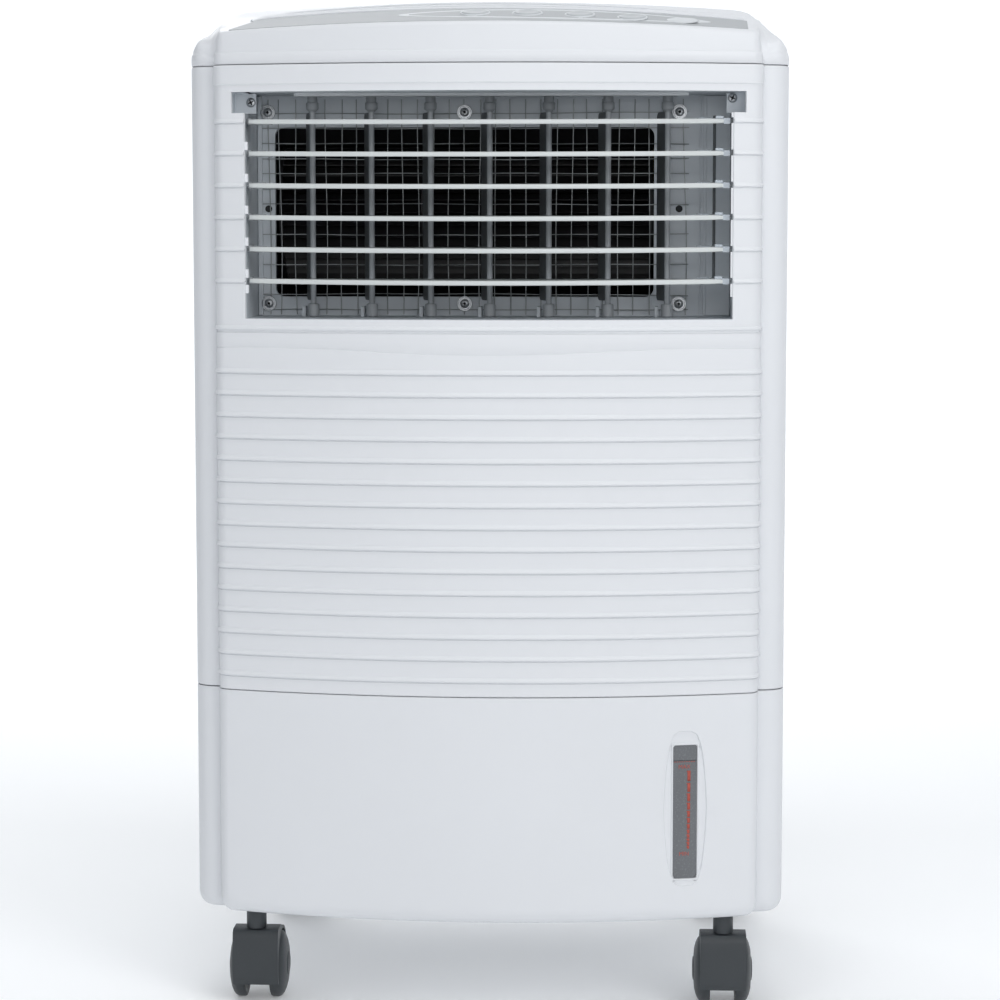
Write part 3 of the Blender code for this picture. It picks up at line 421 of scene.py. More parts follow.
class Wall:
    """An upright wall over an outline; its points are given by distance along it, height and stand-out."""

    def __init__(self, outline, closed=False):
        self.points = [Vector((*point, 0)) for point in outline]
        if closed:
            self.points.append(self.points[0])
        self.at = [0.0]
        for start, end in zip(self.points, self.points[1:]):
            self.at.append(self.at[-1] + (end - start).length)
        legs = [(end - start).normalized() for start, end in zip(self.points, self.points[1:])]
        self.normals = []
        for index in range(len(self.points)):
            before = legs[index - 1] if index or closed else legs[0]
            after = legs[index % len(legs)] if index < len(legs) or closed else legs[-1]
            along = before + after
            self.normals.append(Vector((along.y, -along.x, 0)).normalized())

    def where(self, distance):
        """The leg that a distance falls on, and how far along the leg it is."""
        low, high = 0, len(self.at) - 2
        while low < high:
            index = (low + high + 1) // 2
            if self.at[index] <= distance:
                low = index
            else:
                high = index - 1
        share = (distance - self.at[low]) / (self.at[low + 1] - self.at[low])
        return low, share

    def place(self, distance, height, out=0.0):
        low, share = self.where(distance)
        point = self.points[low].lerp(self.points[low + 1], share)
        normal = self.normals[low].lerp(self.normals[low + 1], share)
        return point + normal * out + Vector((0, 0, height))


def filled(marks, step):
    """The marks, with the runs between them divided into parts no longer than step."""
    marks = sorted(set(marks))
    values = []
    for low, high in zip(marks, marks[1:]):
        parts = max(1, math.ceil((high - low) / step - 1e-6))
        values += [low + (high - low) * part / parts for part in range(parts)]
    return values + [marks[-1]]


def corner_shares(count, reach):
    """Shares from -1 to 1 that crowd towards both ends, where a patch has its round corners."""
    ends = [1 - reach * step / 3 for step in range(3)]
    middle = [(1 - reach) * (2 * step / count - 1) for step in range(count + 1)]
    return [-share for share in ends] + middle + ends[::-1]


def clamp(value, limit):
    return min(max(value, -limit), limit)


def rounded_ring(shares, half_width, half_height, radius):
    """Points of a rounded rectangle for shares on the edge of the square from -1 to 1."""
    ring = []
    for u, v in shares:
        target = Vector((u * half_width, v * half_height))
        inner = Vector((clamp(target.x, half_width - radius), clamp(target.y, half_height - radius)))
        ring.append(inner + (target - inner).normalized() * radius)
    return ring


class Patch:
    """A hole in a skin with rings of points inside it, from its edge inwards."""

    def __init__(self, left, right, low, high, rings=None, cap=False, counts=(8, 24), reach=(0.2, 0.1)):
        self.span = (left, right, low, high)
        self.rings, self.cap = rings, cap
        middle, half = (left + right) / 2, (right - left) / 2
        self.stations = [middle + half * share for share in corner_shares(counts[0], reach[0])]
        middle, half = (low + high) / 2, (high - low) / 2
        self.heights = [middle + half * share for share in corner_shares(counts[1], reach[1])]

    def holds(self, distance, height):
        left, right, low, high = self.span
        return left < distance < right and low < height < high


def skin(wall, stations, levels, patches, holes, warp=None, closed=False):
    """A sheet over a wall: a grid of stations and levels, with plain holes and ringed patches.
    A level is (height, stand-out), and warp moves a height by where it is along the wall."""
    sheet = bmesh.new()
    rows = []
    for height, out in levels:
        row = []
        for distance in stations[:-1] if closed else stations:
            lift = warp(wall.place(distance, 0).x, height) if warp else 0
            row.append(sheet.verts.new(wall.place(distance, height + lift, out)))
        rows.append(row + [row[0]] if closed else row)
    for low, high, (z0, _), (z1, _) in zip(rows, rows[1:], levels, levels[1:]):
        for column, (s0, s1) in enumerate(zip(stations, stations[1:])):
            middle_s, middle_z = (s0 + s1) / 2, (z0 + z1) / 2
            if any(a < middle_s < b and c < middle_z < d for a, b, c, d in holes):
                continue
            if any(patch.holds(middle_s, middle_z) for patch in patches):
                continue
            sheet.faces.new((low[column], low[column + 1], high[column + 1], high[column]))
    for patch in patches:
        left, right, bottom, top = patch.span
        columns = [s for s in stations if left - 1e-7 <= s <= right + 1e-7]
        heights = [z for z, _ in levels if bottom - 1e-7 <= z <= top + 1e-7]
        spots = [(s, bottom) for s in columns[:-1]] + [(right, z) for z in heights[:-1]]
        spots += [(s, top) for s in columns[:0:-1]] + [(left, z) for z in heights[:0:-1]]
        centre = ((left + right) / 2, (bottom + top) / 2)
        wide, tall = right - left, top - bottom
        shares = [(2 * (s - left) / wide - 1, 2 * (z - bottom) / tall - 1) for s, z in spots]
        column_of = {round(s, 7): index for index, s in enumerate(stations)}
        row_of = {round(z, 7): index for index, (z, _) in enumerate(levels)}
        outer = [rows[row_of[round(z, 7)]][column_of[round(s, 7)]] for s, z in spots]
        for ring in patch.rings(shares):
            places = [wall.place(centre[0] + across, centre[1] + up, out) for across, up, out in ring]
            inner = [sheet.verts.new(place) for place in places]
            bridge(sheet, outer, inner)
            outer = inner
        if patch.cap:
            sheet.faces.new(outer)
    return sheet


def eased_ring(shares, half_width, half_height, radius, out):
    return [(*point, out) for point in rounded_ring(shares, half_width, half_height, radius)]


def pocket_rings(half_width, half_height, radius, depth):
    """Rings of a pocket with an eased edge, straight walls and a rounded floor."""
    lip = 0.0012

    def rings(shares):
        steps = []
        for step in range(4):
            turn = math.pi / 2 * step / 3
            steps.append((lip * (1 - math.sin(turn)), -lip * (1 - math.cos(turn))))
        steps += [(0, 0.003 - depth), (-0.0009, 0.0009 - depth), (-0.003, -depth)]
        made = []
        for grow, out in steps:
            made.append(eased_ring(shares, half_width + grow, half_height + grow, radius + grow, out))
        return made

    return rings


# ---------------------------------------------------------------- shells

RIB_OUT, SIDE_RIB_OUT, BAND_OUT = 0.0012, 0.0009, 0.0009
CREASE_Z, GROOVE_Z = 0.4880, 0.5020


def rib_levels(z, half, out):
    """A rib with a shadow line under it: steep below, sloping above."""
    shape = ((-1, 0), (-0.96, 0.60), (-0.82, 0.92), (-0.5, 1), (0, 0.96), (0.4, 0.72), (0.8, 0.26), (1, 0.0))
    below = z - half
    line = [(below - 0.0009, 0), (below - 0.0007, -0.0005), (below - 0.0001, -0.0005)]
    return line + [(z + half * up, out * share) for up, share in shape]


def crease_lift(x, height):
    """How far a row moves so that the crease follows its shallow wave across the front."""
    side = min(abs(x) / FRONT_HALF, 1)
    wave = 0.0047 * math.sin(min(side / 0.80, 1) * math.pi / 2) ** 2 - 0.0006 * max(side - 0.85, 0) / 0.15
    middle = 0.0019
    near = max(0.0, 1 - abs(height - CREASE_Z) / 0.0115)
    return (wave - middle) * min(near * 1.6, 1)


def front_levels():
    """Levels of the front from the base seam up to the cover's."""
    levels = [(BASE_SEAM + SEAM_GAP, -0.0006), (BASE_SEAM + SEAM_GAP + 0.0007, 0)]
    for z in RIBS:
        levels += rib_levels(z, 0.0017, RIB_OUT)
    crease = [(-0.009, 0), (-0.004, 0), (-0.0007, 0)]
    crease += [(-0.0004, -0.0006), (0.0003, -0.0006), (0.0011, -0.0002), (0.008, 0)]
    levels += [(CREASE_Z + up, out) for up, out in crease]
    groove = ((-0.0012, 0), (-0.0006, -0.0009), (0.0006, -0.0009), (0.0010, 0))
    levels += [(GROOVE_Z + up, out) for up, out in groove]
    levels += [(0.5031, 0), (0.5034, 0.0006), (0.5038, BAND_OUT), (0.5052, BAND_OUT), (0.5058, 0.0005)]
    levels += [(0.5062, 0), (OUTLET_LOW, 0)]
    for z in reversed(LOUVERS):
        levels += rib_levels(z, 0.0015, SIDE_RIB_OUT)
    levels += [(NOTCH_LOW, 0), (OUTLET_HIGH, 0), (0.6778, 0), (0.6782, 0.0005), (0.6788, BAND_OUT)]
    levels += [(COVER_SEAM - SEAM_GAP - 0.0006, BAND_OUT), (COVER_SEAM - SEAM_GAP, BAND_OUT - 0.0006)]
    return levels


def make_front_shell():
    wall = Wall(front_outline())
    middle = wall.at[-1] / 2
    corner = middle + bow_length(FRONT_HALF - 0.0115)
    edges = [middle + bow_length(x) for x in (-OUTLET_HALF, OUTLET_RIGHT, -NOTCH_HALF, NOTCH_RIGHT)]
    stations = filled([0, 2 * middle, 2 * middle - corner, corner, *edges], 0.0050)
    dense = [s for s in wall.at if s < 2 * middle - corner or s > corner]
    stations = sorted(set([round(s, 7) for s in [*stations, *dense]]))
    holes = [(*edges[:2], OUTLET_LOW, OUTLET_HIGH), (*edges[2:], NOTCH_LOW, OUTLET_HIGH)]
    sheet = skin(wall, stations, front_levels(), [], holes, crease_lift)
    keep(sheet, "front_shell_skin", "root", "white", ["front_shell"], 30, 0.0005, WALL, 60)


def lens_rings(shares):
    """The level window's shallow scoop, its raised lip and the opening inside it."""
    outline = rounded_ring(shares, 1, 1, 0.02)
    half_width, half_height = 0.0163, 0.0572
    made = []
    for shrink, out in ((0.0, 0.0), (0.0003, -0.0004), (0.0006, -0.0010), (0.0012, -0.0012)):
        ring = []
        for point in outline:
            low, high = 0.0, 2.0
            for _ in range(30):
                scale = (low + high) / 2
                reach = abs(point.x * scale) ** 4.5 + abs(point.y * scale) ** 1.25
                low, high = (scale, high) if reach < 1 else (low, scale)
            x, z = point.x * low * (half_width - shrink), point.y * low * (half_height - shrink)
            ring.append((x, z + 0.0024, out))
        made.append(ring)
    lip = ((0.0104, -0.0012), (0.0100, -0.0003), (0.0093, -0.0003), (0.0089, -0.0010), (0.0089, -0.0042))
    return made + [eased_ring(shares, across, across + 0.0401, 0.0018, out) for across, out in lip]


def base_outline():
    rear = rear_outline(mouth=FRONT_HALF)
    return [*front_outline()[1:-1], (FRONT_HALF, STEP_Y), *rear[1:-1], (-FRONT_HALF, STEP_Y)]


def make_base():
    wall = Wall(base_outline(), closed=True)
    front = Wall(front_outline()[1:-1])
    middle = front.at[-1] / 2
    total = wall.at[-1]
    rear = (total + front.at[-1]) / 2
    lens_left, lens_right, *plain = [middle + bow_length(x) for x in (0.1255, 0.1632, -0.185, 0.185)]
    lens_middle = (lens_left + lens_right) / 2
    lens = Patch(lens_left, lens_right, WINDOW_LOW, WINDOW_HIGH, lens_rings, False, (6, 30), (0.16, 0.035))
    bay = (rear - BAY_HALF, rear + BAY_HALF, BAY_LOW, BAY_HIGH)
    corners = [s for s in wall.at if not plain[0] < s < plain[1]]
    marks = [0, *plain, *lens.span[:2], *lens.stations, *bay[:2], total]
    stations = filled(sorted(round(s, 7) for s in [*marks, *corners]), 0.012)
    lens.span = (*[round(s, 7) for s in lens.span[:2]], *lens.span[2:])
    levels = []
    for step in range(9):
        turn = math.pi / 2 * step / 8
        levels.append((BOTTOM_Z + 0.0110 * (1 - math.cos(turn)), -0.0085 * (1 - math.sin(turn))))
    levels += [(z, 0) for z in (bay[2], *lens.heights, bay[3], BASE_SEAM - SEAM_GAP - 0.0007)]
    levels = sorted(set((round(z, 7), out) for z, out in levels))
    levels.append((BASE_SEAM - SEAM_GAP, -0.0006))
    lens.span = (*lens.span[:2], round(WINDOW_LOW, 7), round(WINDOW_HIGH, 7))
    sheet = skin(wall, stations, levels, [lens], [bay], closed=True)
    keep(sheet, "base_skin", "root", "white", ["base_housing"], 30, 0.0, WALL)
    make_base_floor(wall, stations)
    make_bay_liner()
    make_caster_bosses()
    make_level_window(front, lens_middle)
    make_scale(front, lens_middle)


def make_base_floor(wall, stations):
    floor = bmesh.new()
    rim = [floor.verts.new(wall.place(s, BOTTOM_Z + 0.0004, -0.0084)) for s in stations[:-1]]
    floor.faces.new(rim[::-1])
    keep(floor, "base_floor", "root", "white", (), 30, 0, 0.002)


def make_bay_liner():
    """The walls of the bay that the tank slides into, open at the back."""
    liner = bmesh.new()
    corners = ((-BAY_HALF, BAY_LOW), (BAY_HALF, BAY_LOW), (BAY_HALF, BAY_HIGH), (-BAY_HALF, BAY_HIGH))
    mouth, inner = [[liner.verts.new((x, y, z)) for x, z in corners] for y in (BAY_BACK, BAY_FRONT)]
    bridge(liner, mouth, inner)
    liner.faces.new(inner)
    keep(liner, "tank_bay_liner", "root", "white", (), 30, 0.0006)


def make_caster_bosses():
    bosses = bmesh.new()
    ring = ((0.0080, 0), (0.0108, 0), (0.0112, 0.0002), (0.0112, 0.0024), (0.0080, 0.0024), (0.0080, 0))
    for x, y in CASTERS.values():
        add_lathe(bosses, ring, Matrix.Translation((x, y, BOTTOM_Z)), 40)
    keep(bosses, "caster_bosses", "root", "white", (), 40)


def make_level_window(wall, middle):
    """The smoked pane, with a narrow border so that its edges shade sharply."""
    pane = bmesh.new()
    narrow = 0.0003
    inner = [PANE_HALF * column / 4 for column in range(-3, 4)]
    across = [-PANE_HALF, narrow - PANE_HALF, *inner, PANE_HALF - narrow, PANE_HALF]
    inner = [PANE_TALL * row / 12 for row in range(1, 12)]
    rows = []
    for z in (0, narrow, *inner, PANE_TALL - narrow, PANE_TALL):
        rows.append([pane.verts.new(wall.place(middle + s, PANE_LOW + z, -0.0014)) for s in across])
    fill_grid(pane, rows)
    keep(pane, "level_window_pane", "root", "window", ["level_window"], 30, 0, 0.0016)


def make_scale(wall, middle):
    """The red marks printed on the window: a line and MAX at the top, a tapering bar, MIN at the bottom."""

    def mark(sheet, left, right, low, high, out=-0.00128):
        corners = ((left, low), (right, low), (right, high), (left, high))
        sheet.faces.new([sheet.verts.new(wall.place(middle + s, z, out)) for s, z in corners])

    marks = bmesh.new()
    for step in range(9):
        left = -0.0080 + 0.00178 * step
        mark(marks, left, left + 0.0011, 0.1914, 0.1919)
    z, tall, left = 0.1850, 0.0089, 0.0018
    for step in range(12):
        mark(marks, left, left + 0.0023 - 0.00006 * step, z - tall * 0.86, z)
        mark(marks, left - 0.0006, left, z - 0.0007, z - 0.0001)
        z -= tall
        tall = max(tall * 0.875, 0.0026)
    keep(marks, "level_scale", "root", "red", (), 30, 0, 0.00006)
    # A thin dark strip on the pane above the top mark: painted shade along the tank's top edge behind the
    # window.
    shade = bmesh.new()
    mark(shade, -0.0086, 0.0086, 0.1923, 0.1927, -0.00130)
    keep(shade, "window_top_shade_line", "root", "dark", (), 30, 0, 0.00004)
    for word, z in (("MAX", 0.1866), ("MIN", 0.1226)):
        print_word(word, wall.place(middle - 0.0005, z, -0.00126))


def print_word(word, place):
    """A word of the scale, turned to lie on the bowed window."""
    name = f"level_{word.lower()}"
    curve = bpy.data.curves.new(f"word_{word.lower()}", "FONT")
    curve.body = word
    curve.size = 0.0042
    curve.align_x = "CENTER"
    curve.extrude = 0.00003
    letters = bpy.data.objects.new(name, curve)
    bpy.context.scene.collection.objects.link(letters)
    letters.location = place
    letters.rotation_euler = (math.pi / 2, 0, math.asin(WINDOW_X / BOW_RADIUS))
    bpy.context.view_layer.update()
    mesh = mesh_of(letters)
    mesh.transform(letters.matrix_world)
    bpy.data.objects.remove(letters)
    solid = bmesh.new()
    solid.from_mesh(mesh)
    keep(solid, name, "root", "red")


def make_rear_shell():
    wall = Wall(rear_outline())
    middle = wall.at[-1] / 2
    side_start = wall.at[wall.points.index(next(p for p in wall.points if abs(p.x - HALF) < 1e-6))]
    grip_at = side_start + GRIP_Y - (STEP_Y + SIDE_CORNER)
    rings = pocket_rings(0.050, 0.016, 0.0125, 0.0140)
    heights = (GRIP_Z - 0.022, GRIP_Z + 0.022)
    grips = []
    for at in (grip_at, 2 * middle - grip_at):
        grips.append(Patch(at - 0.056, at + 0.056, *heights, rings, True, (16, 6), (0.26, 0.70)))
    grille = (middle - GRILLE_OPENING[0], middle + GRILLE_OPENING[0], *GRILLE_OPENING[1:])
    marks = [0, 2 * middle, *grille[:2], *wall.at]
    for patch in grips:
        marks += patch.stations
    stations = filled(sorted(round(s, 7) for s in marks), 0.02)
    lows = [(BASE_SEAM + SEAM_GAP, -0.0006), (BASE_SEAM + SEAM_GAP + 0.0007, 0)]
    tops = [(COVER_SEAM - SEAM_GAP - 0.0007, 0), (COVER_SEAM - SEAM_GAP, -0.0006)]
    between = filled(sorted(round(z, 7) for z in [0.2450, *grille[2:], *grips[0].heights, 0.6880]), 0.04)
    levels = lows + [(z, 0) for z in between] + tops
    for patch in grips:
        patch.span = tuple(round(value, 7) for value in patch.span)
    sheet = skin(wall, stations, levels, grips, [grille])
    keep(sheet, "rear_shell_skin", "root", "white", ["rear_shell"], 30, 0.0, WALL)


FRONT_EDGE_Z, CROWN_Z = 0.7215, 0.7426
SHOULDER = (
    (0.168, 0.7392), (0.176, 0.7375), (0.183, 0.7345), (0.189, 0.7318), (0.194, 0.7278), (0.1985, 0.7215),
    (0.2035, 0.7172), (0.2090, 0.7118), (0.2135, 0.7070), (0.2155, 0.7045), (0.2165, 0.7013),
)
BACK_EDGE = (
    (0.0, CROWN_Z), (0.06, 0.7418), (0.10, 0.7385), (0.13, 0.7330), (0.155, 0.7260), (0.172, 0.7190),
    (0.183, 0.7125), (BACK_Y, 0.7025),
)
STEP_EDGE = ((STEP_Y, 0.7010), (-0.142, 0.7075), (-0.134, 0.7130), (-0.120, 0.7200))


def along_curve(value, points):
    """Height on a smooth curve through (place, height) points."""
    if value <= points[0][0]:
        return points[0][1]
    for index, ((x0, z0), (x1, z1)) in enumerate(zip(points, points[1:])):
        if value <= x1:
            xm, zm = points[max(index - 1, 0)]
            xn, zn = points[min(index + 2, len(points) - 1)]
            width = x1 - x0
            start = (z1 - zm) / (x1 - xm) * width
            end = (zn - z0) / (xn - x0) * width
            t = (value - x0) / width
            return (
                z0 * (2 * t**3 - 3 * t**2 + 1) + start * (t**3 - 2 * t**2 + t)
                + z1 * (3 * t**2 - 2 * t**3) + end * (t**3 - t**2)
            )
    return points[-1][1]


def soft_min(first, second):
    """The smaller of two heights, eased where they meet."""
    blend = 0.0012
    gap = max(blend - abs(first - second), 0) / blend
    return min(first, second) - gap * gap * blend / 4


def cover_z(x, y):
    """Height of the top cover: a sloping face for the controls, a rise behind it, then the arched roof."""
    side = abs(x)
    behind = y - bow_y(min(side, FRONT_HALF))
    slope = math.tan(PANEL_SLOPE) * min(max(behind - 0.005, 0), 0.045)
    share = min(max((behind - 0.050) / 0.022, 0), 1)
    rise = 0.0065 * (share * share * (3 - 2 * share) * 0.5 + share * 0.5)
    crown = 0.0034 * math.sin(math.pi / 2 * min(max((behind - 0.072) / 0.12, 0), 1))
    height = FRONT_EDGE_Z + slope + rise + crown - 0.140 * x * x
    if side > 0.168:
        height = soft_min(height, along_curve(side, SHOULDER))
    if y > 0:
        height = soft_min(height, along_curve(y, BACK_EDGE))
    if side > FRONT_HALF - 0.004:
        height = soft_min(height, along_curve(y, STEP_EDGE) + max(FRONT_HALF - side, 0) * 4)
    return height


def lies_inside(place, outline):
    inside = False
    for first, second in zip(outline, [*outline[1:], outline[0]]):
        if (first.y > place.y) != (second.y > place.y):
            across = first.x + (place.y - first.y) * (second.x - first.x) / (second.y - first.y)
            if place.x < across:
                inside = not inside
    return inside


def roof_places(rim):
    """Plan places for the cover's surface: close together over the controls, wider over the roof."""
    steps = [0.0035 * index for index in range(1, 23)] + [0.080 + 0.0125 * index for index in range(25)]
    places = []
    for column in range(-35, 36):
        x = 0.0061 * column
        start = max(bow_y(min(abs(x), FRONT_HALF)), APEX_Y) + 0.0030
        for step in steps:
            place = Vector((x, start + step))
            if lies_inside(place, rim) and min((place - point).length for point in rim) > 0.0025:
                places.append(place)
    return places


def make_cover():
    """The cover: rings up its side and over its rounded edge, then a roof filled from places in plan."""
    wall = Wall(base_outline(), closed=True)
    places = list(zip(wall.points[:-1], wall.normals))
    cover = bmesh.new()
    edge, ledge = 0.0036, 0.7004

    def ring(inset, height):
        """A ring round the outline, its height a function of the point it is at."""
        made = []
        for point, normal in places:
            point = point - normal * inset
            made.append(cover.verts.new((point.x, point.y, height(point))))
        return made

    def top(point):
        return cover_z(point.x, point.y) - edge

    def rise(share):
        return lambda point: (1 - share) * min(ledge + 0.0008, top(point) - 0.0003) + share * top(point)

    rings = [ring(0.0006, lambda _: COVER_SEAM + SEAM_GAP), ring(0, lambda _: COVER_SEAM + SEAM_GAP + 0.0007)]
    for inset, up in ((0, 0), (0.0002, 0.0004), (0.0006, 0.0007)):
        rings.append(ring(inset, lambda point, n=inset, u=up: min(ledge + u, top(point) - 0.0004 + n)))
    rings += [ring(0.0007, rise(0.35)), ring(0.0009, rise(0.7))]
    for step in range(7):
        turn = math.pi / 2 * step / 6
        lift = edge * math.sin(turn)
        rings.append(ring(0.0011 + edge * (1 - math.cos(turn)), lambda point, u=lift: top(point) + u))
    for low, high in zip(rings, rings[1:]):
        bridge(cover, low, high)
    rim = rings[-1]
    plan = [vertex.co.to_2d() for vertex in rim]
    plan += roof_places(plan)
    flat = delaunay_2d_cdt(plan, [], [list(range(len(rim)))], 1, 1e-6)
    roof = []
    for place, sources in zip(flat[0], flat[3]):
        known = [index for index in sources if index < len(rim)]
        spot = (place.x, place.y, cover_z(place.x, place.y))
        roof.append(rim[known[0]] if known else cover.verts.new(spot))
    for corners in flat[2]:
        cover.faces.new([roof[index] for index in corners])
    keep(cover, "top_cover_skin", "root", "white", ["top_cover"], 50, 0, 0.002)


# ---------------------------------------------------------------- controls

PANEL_LEFT, PANEL_RIGHT = -0.1855, 0.186
BUTTON_X = [-0.0083 + 0.0373 * index for index in range(4)]
BUTTON_Y, BUTTON_HOLE = -0.159, 0.0102
LENS_X, LENS_HALF = 0.0480, 0.1040


def panel_front(x):
    return bow_y(x) + 0.0052


def panel_back(x):
    reach = min(1, 0.10 + (x - PANEL_LEFT) / 0.020)
    back = -0.127 - 0.013 * (1 - (x / 0.180) ** 2)
    return panel_front(x) + (back - panel_front(x)) * reach


def lens_edge(x, side, grow):
    """Y of the pale lens's front edge (side -1) or back edge (side 1), moved out by grow."""
    share = max(0.0, 1 - ((x - LENS_X) / (LENS_HALF + grow)) ** 2)
    middle = -0.1600 + (bow_y(x) - APEX_Y) * 0.55
    return middle + side * (0.0125 + grow * 0.6) * share**0.62


def laid_sheet(name, ends, edges, lift, look, stands_for, columns, rows, thickness):
    """A thin plate laid on the sloping face between two edges, functions of x, and open round the buttons."""
    sheet = bmesh.new()
    (left, right), (front, back) = ends, edges
    lines = []
    for row in range(rows + 1):
        line = []
        for column in range(columns + 1):
            x = left + (right - left) * column / columns
            y = front(x) + (back(x) - front(x)) * row / rows
            line.append(sheet.verts.new((x, y, cover_z(x, y) + lift)))
        lines.append(line)
    fill_grid(sheet, lines)
    for x in BUTTON_X:
        centre = Vector((x, BUTTON_Y))
        within = [f for f in sheet.faces if (f.calc_center_median().xy - centre).length < BUTTON_HOLE]
        bmesh.ops.delete(sheet, geom=within, context="FACES")
        for vert in sheet.verts:
            away = vert.co.xy - centre
            if vert.is_boundary and abs(away.length - BUTTON_HOLE) < 0.0012:
                vert.co.xy = centre + away.normalized() * BUTTON_HOLE
                vert.co.z = cover_z(vert.co.x, vert.co.y) + lift
    keep(sheet, name, "root", look, stands_for, 40, 0.0, thickness)


def slope_place(x, y, lift):
    """A place on the sloping face, its Z across the face."""
    return Matrix.Translation((x, y, cover_z(x, y) + lift)) @ Matrix.Rotation(PANEL_SLOPE, 4, "X")


def make_controls():
    ends, edges = (PANEL_LEFT, PANEL_RIGHT), (panel_front, panel_back)
    laid_sheet("control_panel_face", ends, edges, 0.0004, "panel", ["control_panel"], 340, 48, 0.0006)
    for grow, lift, look, name in (
        (0.008, 0.00055, "swoosh", "swoosh_rim"),
        (0.0, 0.00070, "panel", "swoosh_field"),
    ):
        reach = LENS_HALF + grow - 0.0005
        edges = [lambda x, g=grow, s=side: lens_edge(x, s, g) for side in (-1, 1)]
        laid_sheet(name, (LENS_X - reach, LENS_X + reach), edges, lift, look, (), 216, 24, 0.0003)
    cap = (
        (0, -0.004), (0.0091, -0.004), (0.0093, 0.0008), (0.0088, 0.0013), (0.0062, 0.0015), (0.0045, 0.0011),
        (0, 0.0010),
    )
    ring = (
        (0.0096, 0.0008), (0.0099, 0.0011), (0.0106, 0.0011), (0.0110, 0.0007), (0.0110, 0), (0.0096, 0),
        (0.0096, 0.0008),
    )
    for index, x in enumerate(BUTTON_X, 1):
        solid = bmesh.new()
        add_lathe(solid, cap, slope_place(x, BUTTON_Y, 0.0006), 48)
        keep(solid, f"button_{index}_cap", f"button_{index}", "button", [f"button_{index}"], 60)
        rim = bmesh.new()
        add_lathe(rim, ring, slope_place(x, BUTTON_Y, 0.0003), 48)
        keep(rim, f"button_{index}_rim", "root", "swoosh", (), 60)
    oval = bmesh.new()
    place = slope_place(0.1385, -0.156, 0.0006) @ Matrix.Diagonal((1, 0.667, 1, 1))
    dome = ((0, 0.0016), (0.0080, 0.0014), (0.0112, 0.0009), (0.0119, 0.0003), (0.0119, -0.0004))
    add_lathe(oval, dome, place, 56)
    bmesh.ops.reverse_faces(oval, faces=oval.faces)
    keep(oval, "receiver_cover", "root", "swoosh", ["receiver_window"], 60)
    stripes = bmesh.new()
    outline = [(0.0016 * x, 0.0011 * y) for x, y in round_outline(1)]
    for index in range(3):
        points = []
        for step in range(97):
            x = -0.1720 + 0.3560 * step / 96
            y = panel_back(x) + 0.0040 + 0.0058 * index * min(1, (x + 0.185) / 0.04)
            points.append((x, y, cover_z(x, y) + 0.0002))
        add_sweep(stripes, points, outline)
    keep(stripes, "cover_stripes", "root", "white", (), 70)


# ---------------------------------------------------------------- outlet

SCREW_LEFT, SCREW_RIGHT = -0.166, 0.1385
TO_FRONT = Matrix.Rotation(math.pi / 2, 4, "X")
TO_BACK = Matrix.Rotation(-math.pi / 2, 4, "X")


def rounded_points(left, right, low, high, radius, steps=6):
    inner_left, inner_right = left + radius, right - radius
    inner_low, inner_high = low + radius, high - radius
    corners = (
        (inner_left, inner_low),
        (inner_right, inner_low),
        (inner_right, inner_high),
        (inner_left, inner_high),
    )
    points = []
    for index, centre in enumerate(corners, 2):
        points += arc(centre, radius, index * math.pi / 2, (index + 1) * math.pi / 2, steps)
    return points


def make_outlet_frame():
    make_outlet_tray()
    make_outlet_trim()
    light = bmesh.new()
    outline = rounded_points(-0.1405, 0.1445, -0.1450, -0.1405, 0.0022, 5)
    levels = (OUTLET_HIGH - 0.0024, OUTLET_HIGH)
    low, high = [[light.verts.new((x, y, z)) for x, y in outline] for z in levels]
    light.faces.new(low[::-1])
    bridge(light, low, high)
    keep(light, "outlet_light_strip", "root", "swoosh", (), 30, 0.0005)
    # Dark discs on the flange: painted shade standing in for the open screw holes.
    holes = bmesh.new()
    for x in (SCREW_LEFT, SCREW_RIGHT):
        add_rod(holes, (x, FLANGE_Y - 0.00025, 0.590), (x, FLANGE_Y + 0.001, 0.590), 0.0026, 24)
    keep(holes, "flange_screw_hole_shade", "root", "dark", (), 30)
    make_flange_screws()


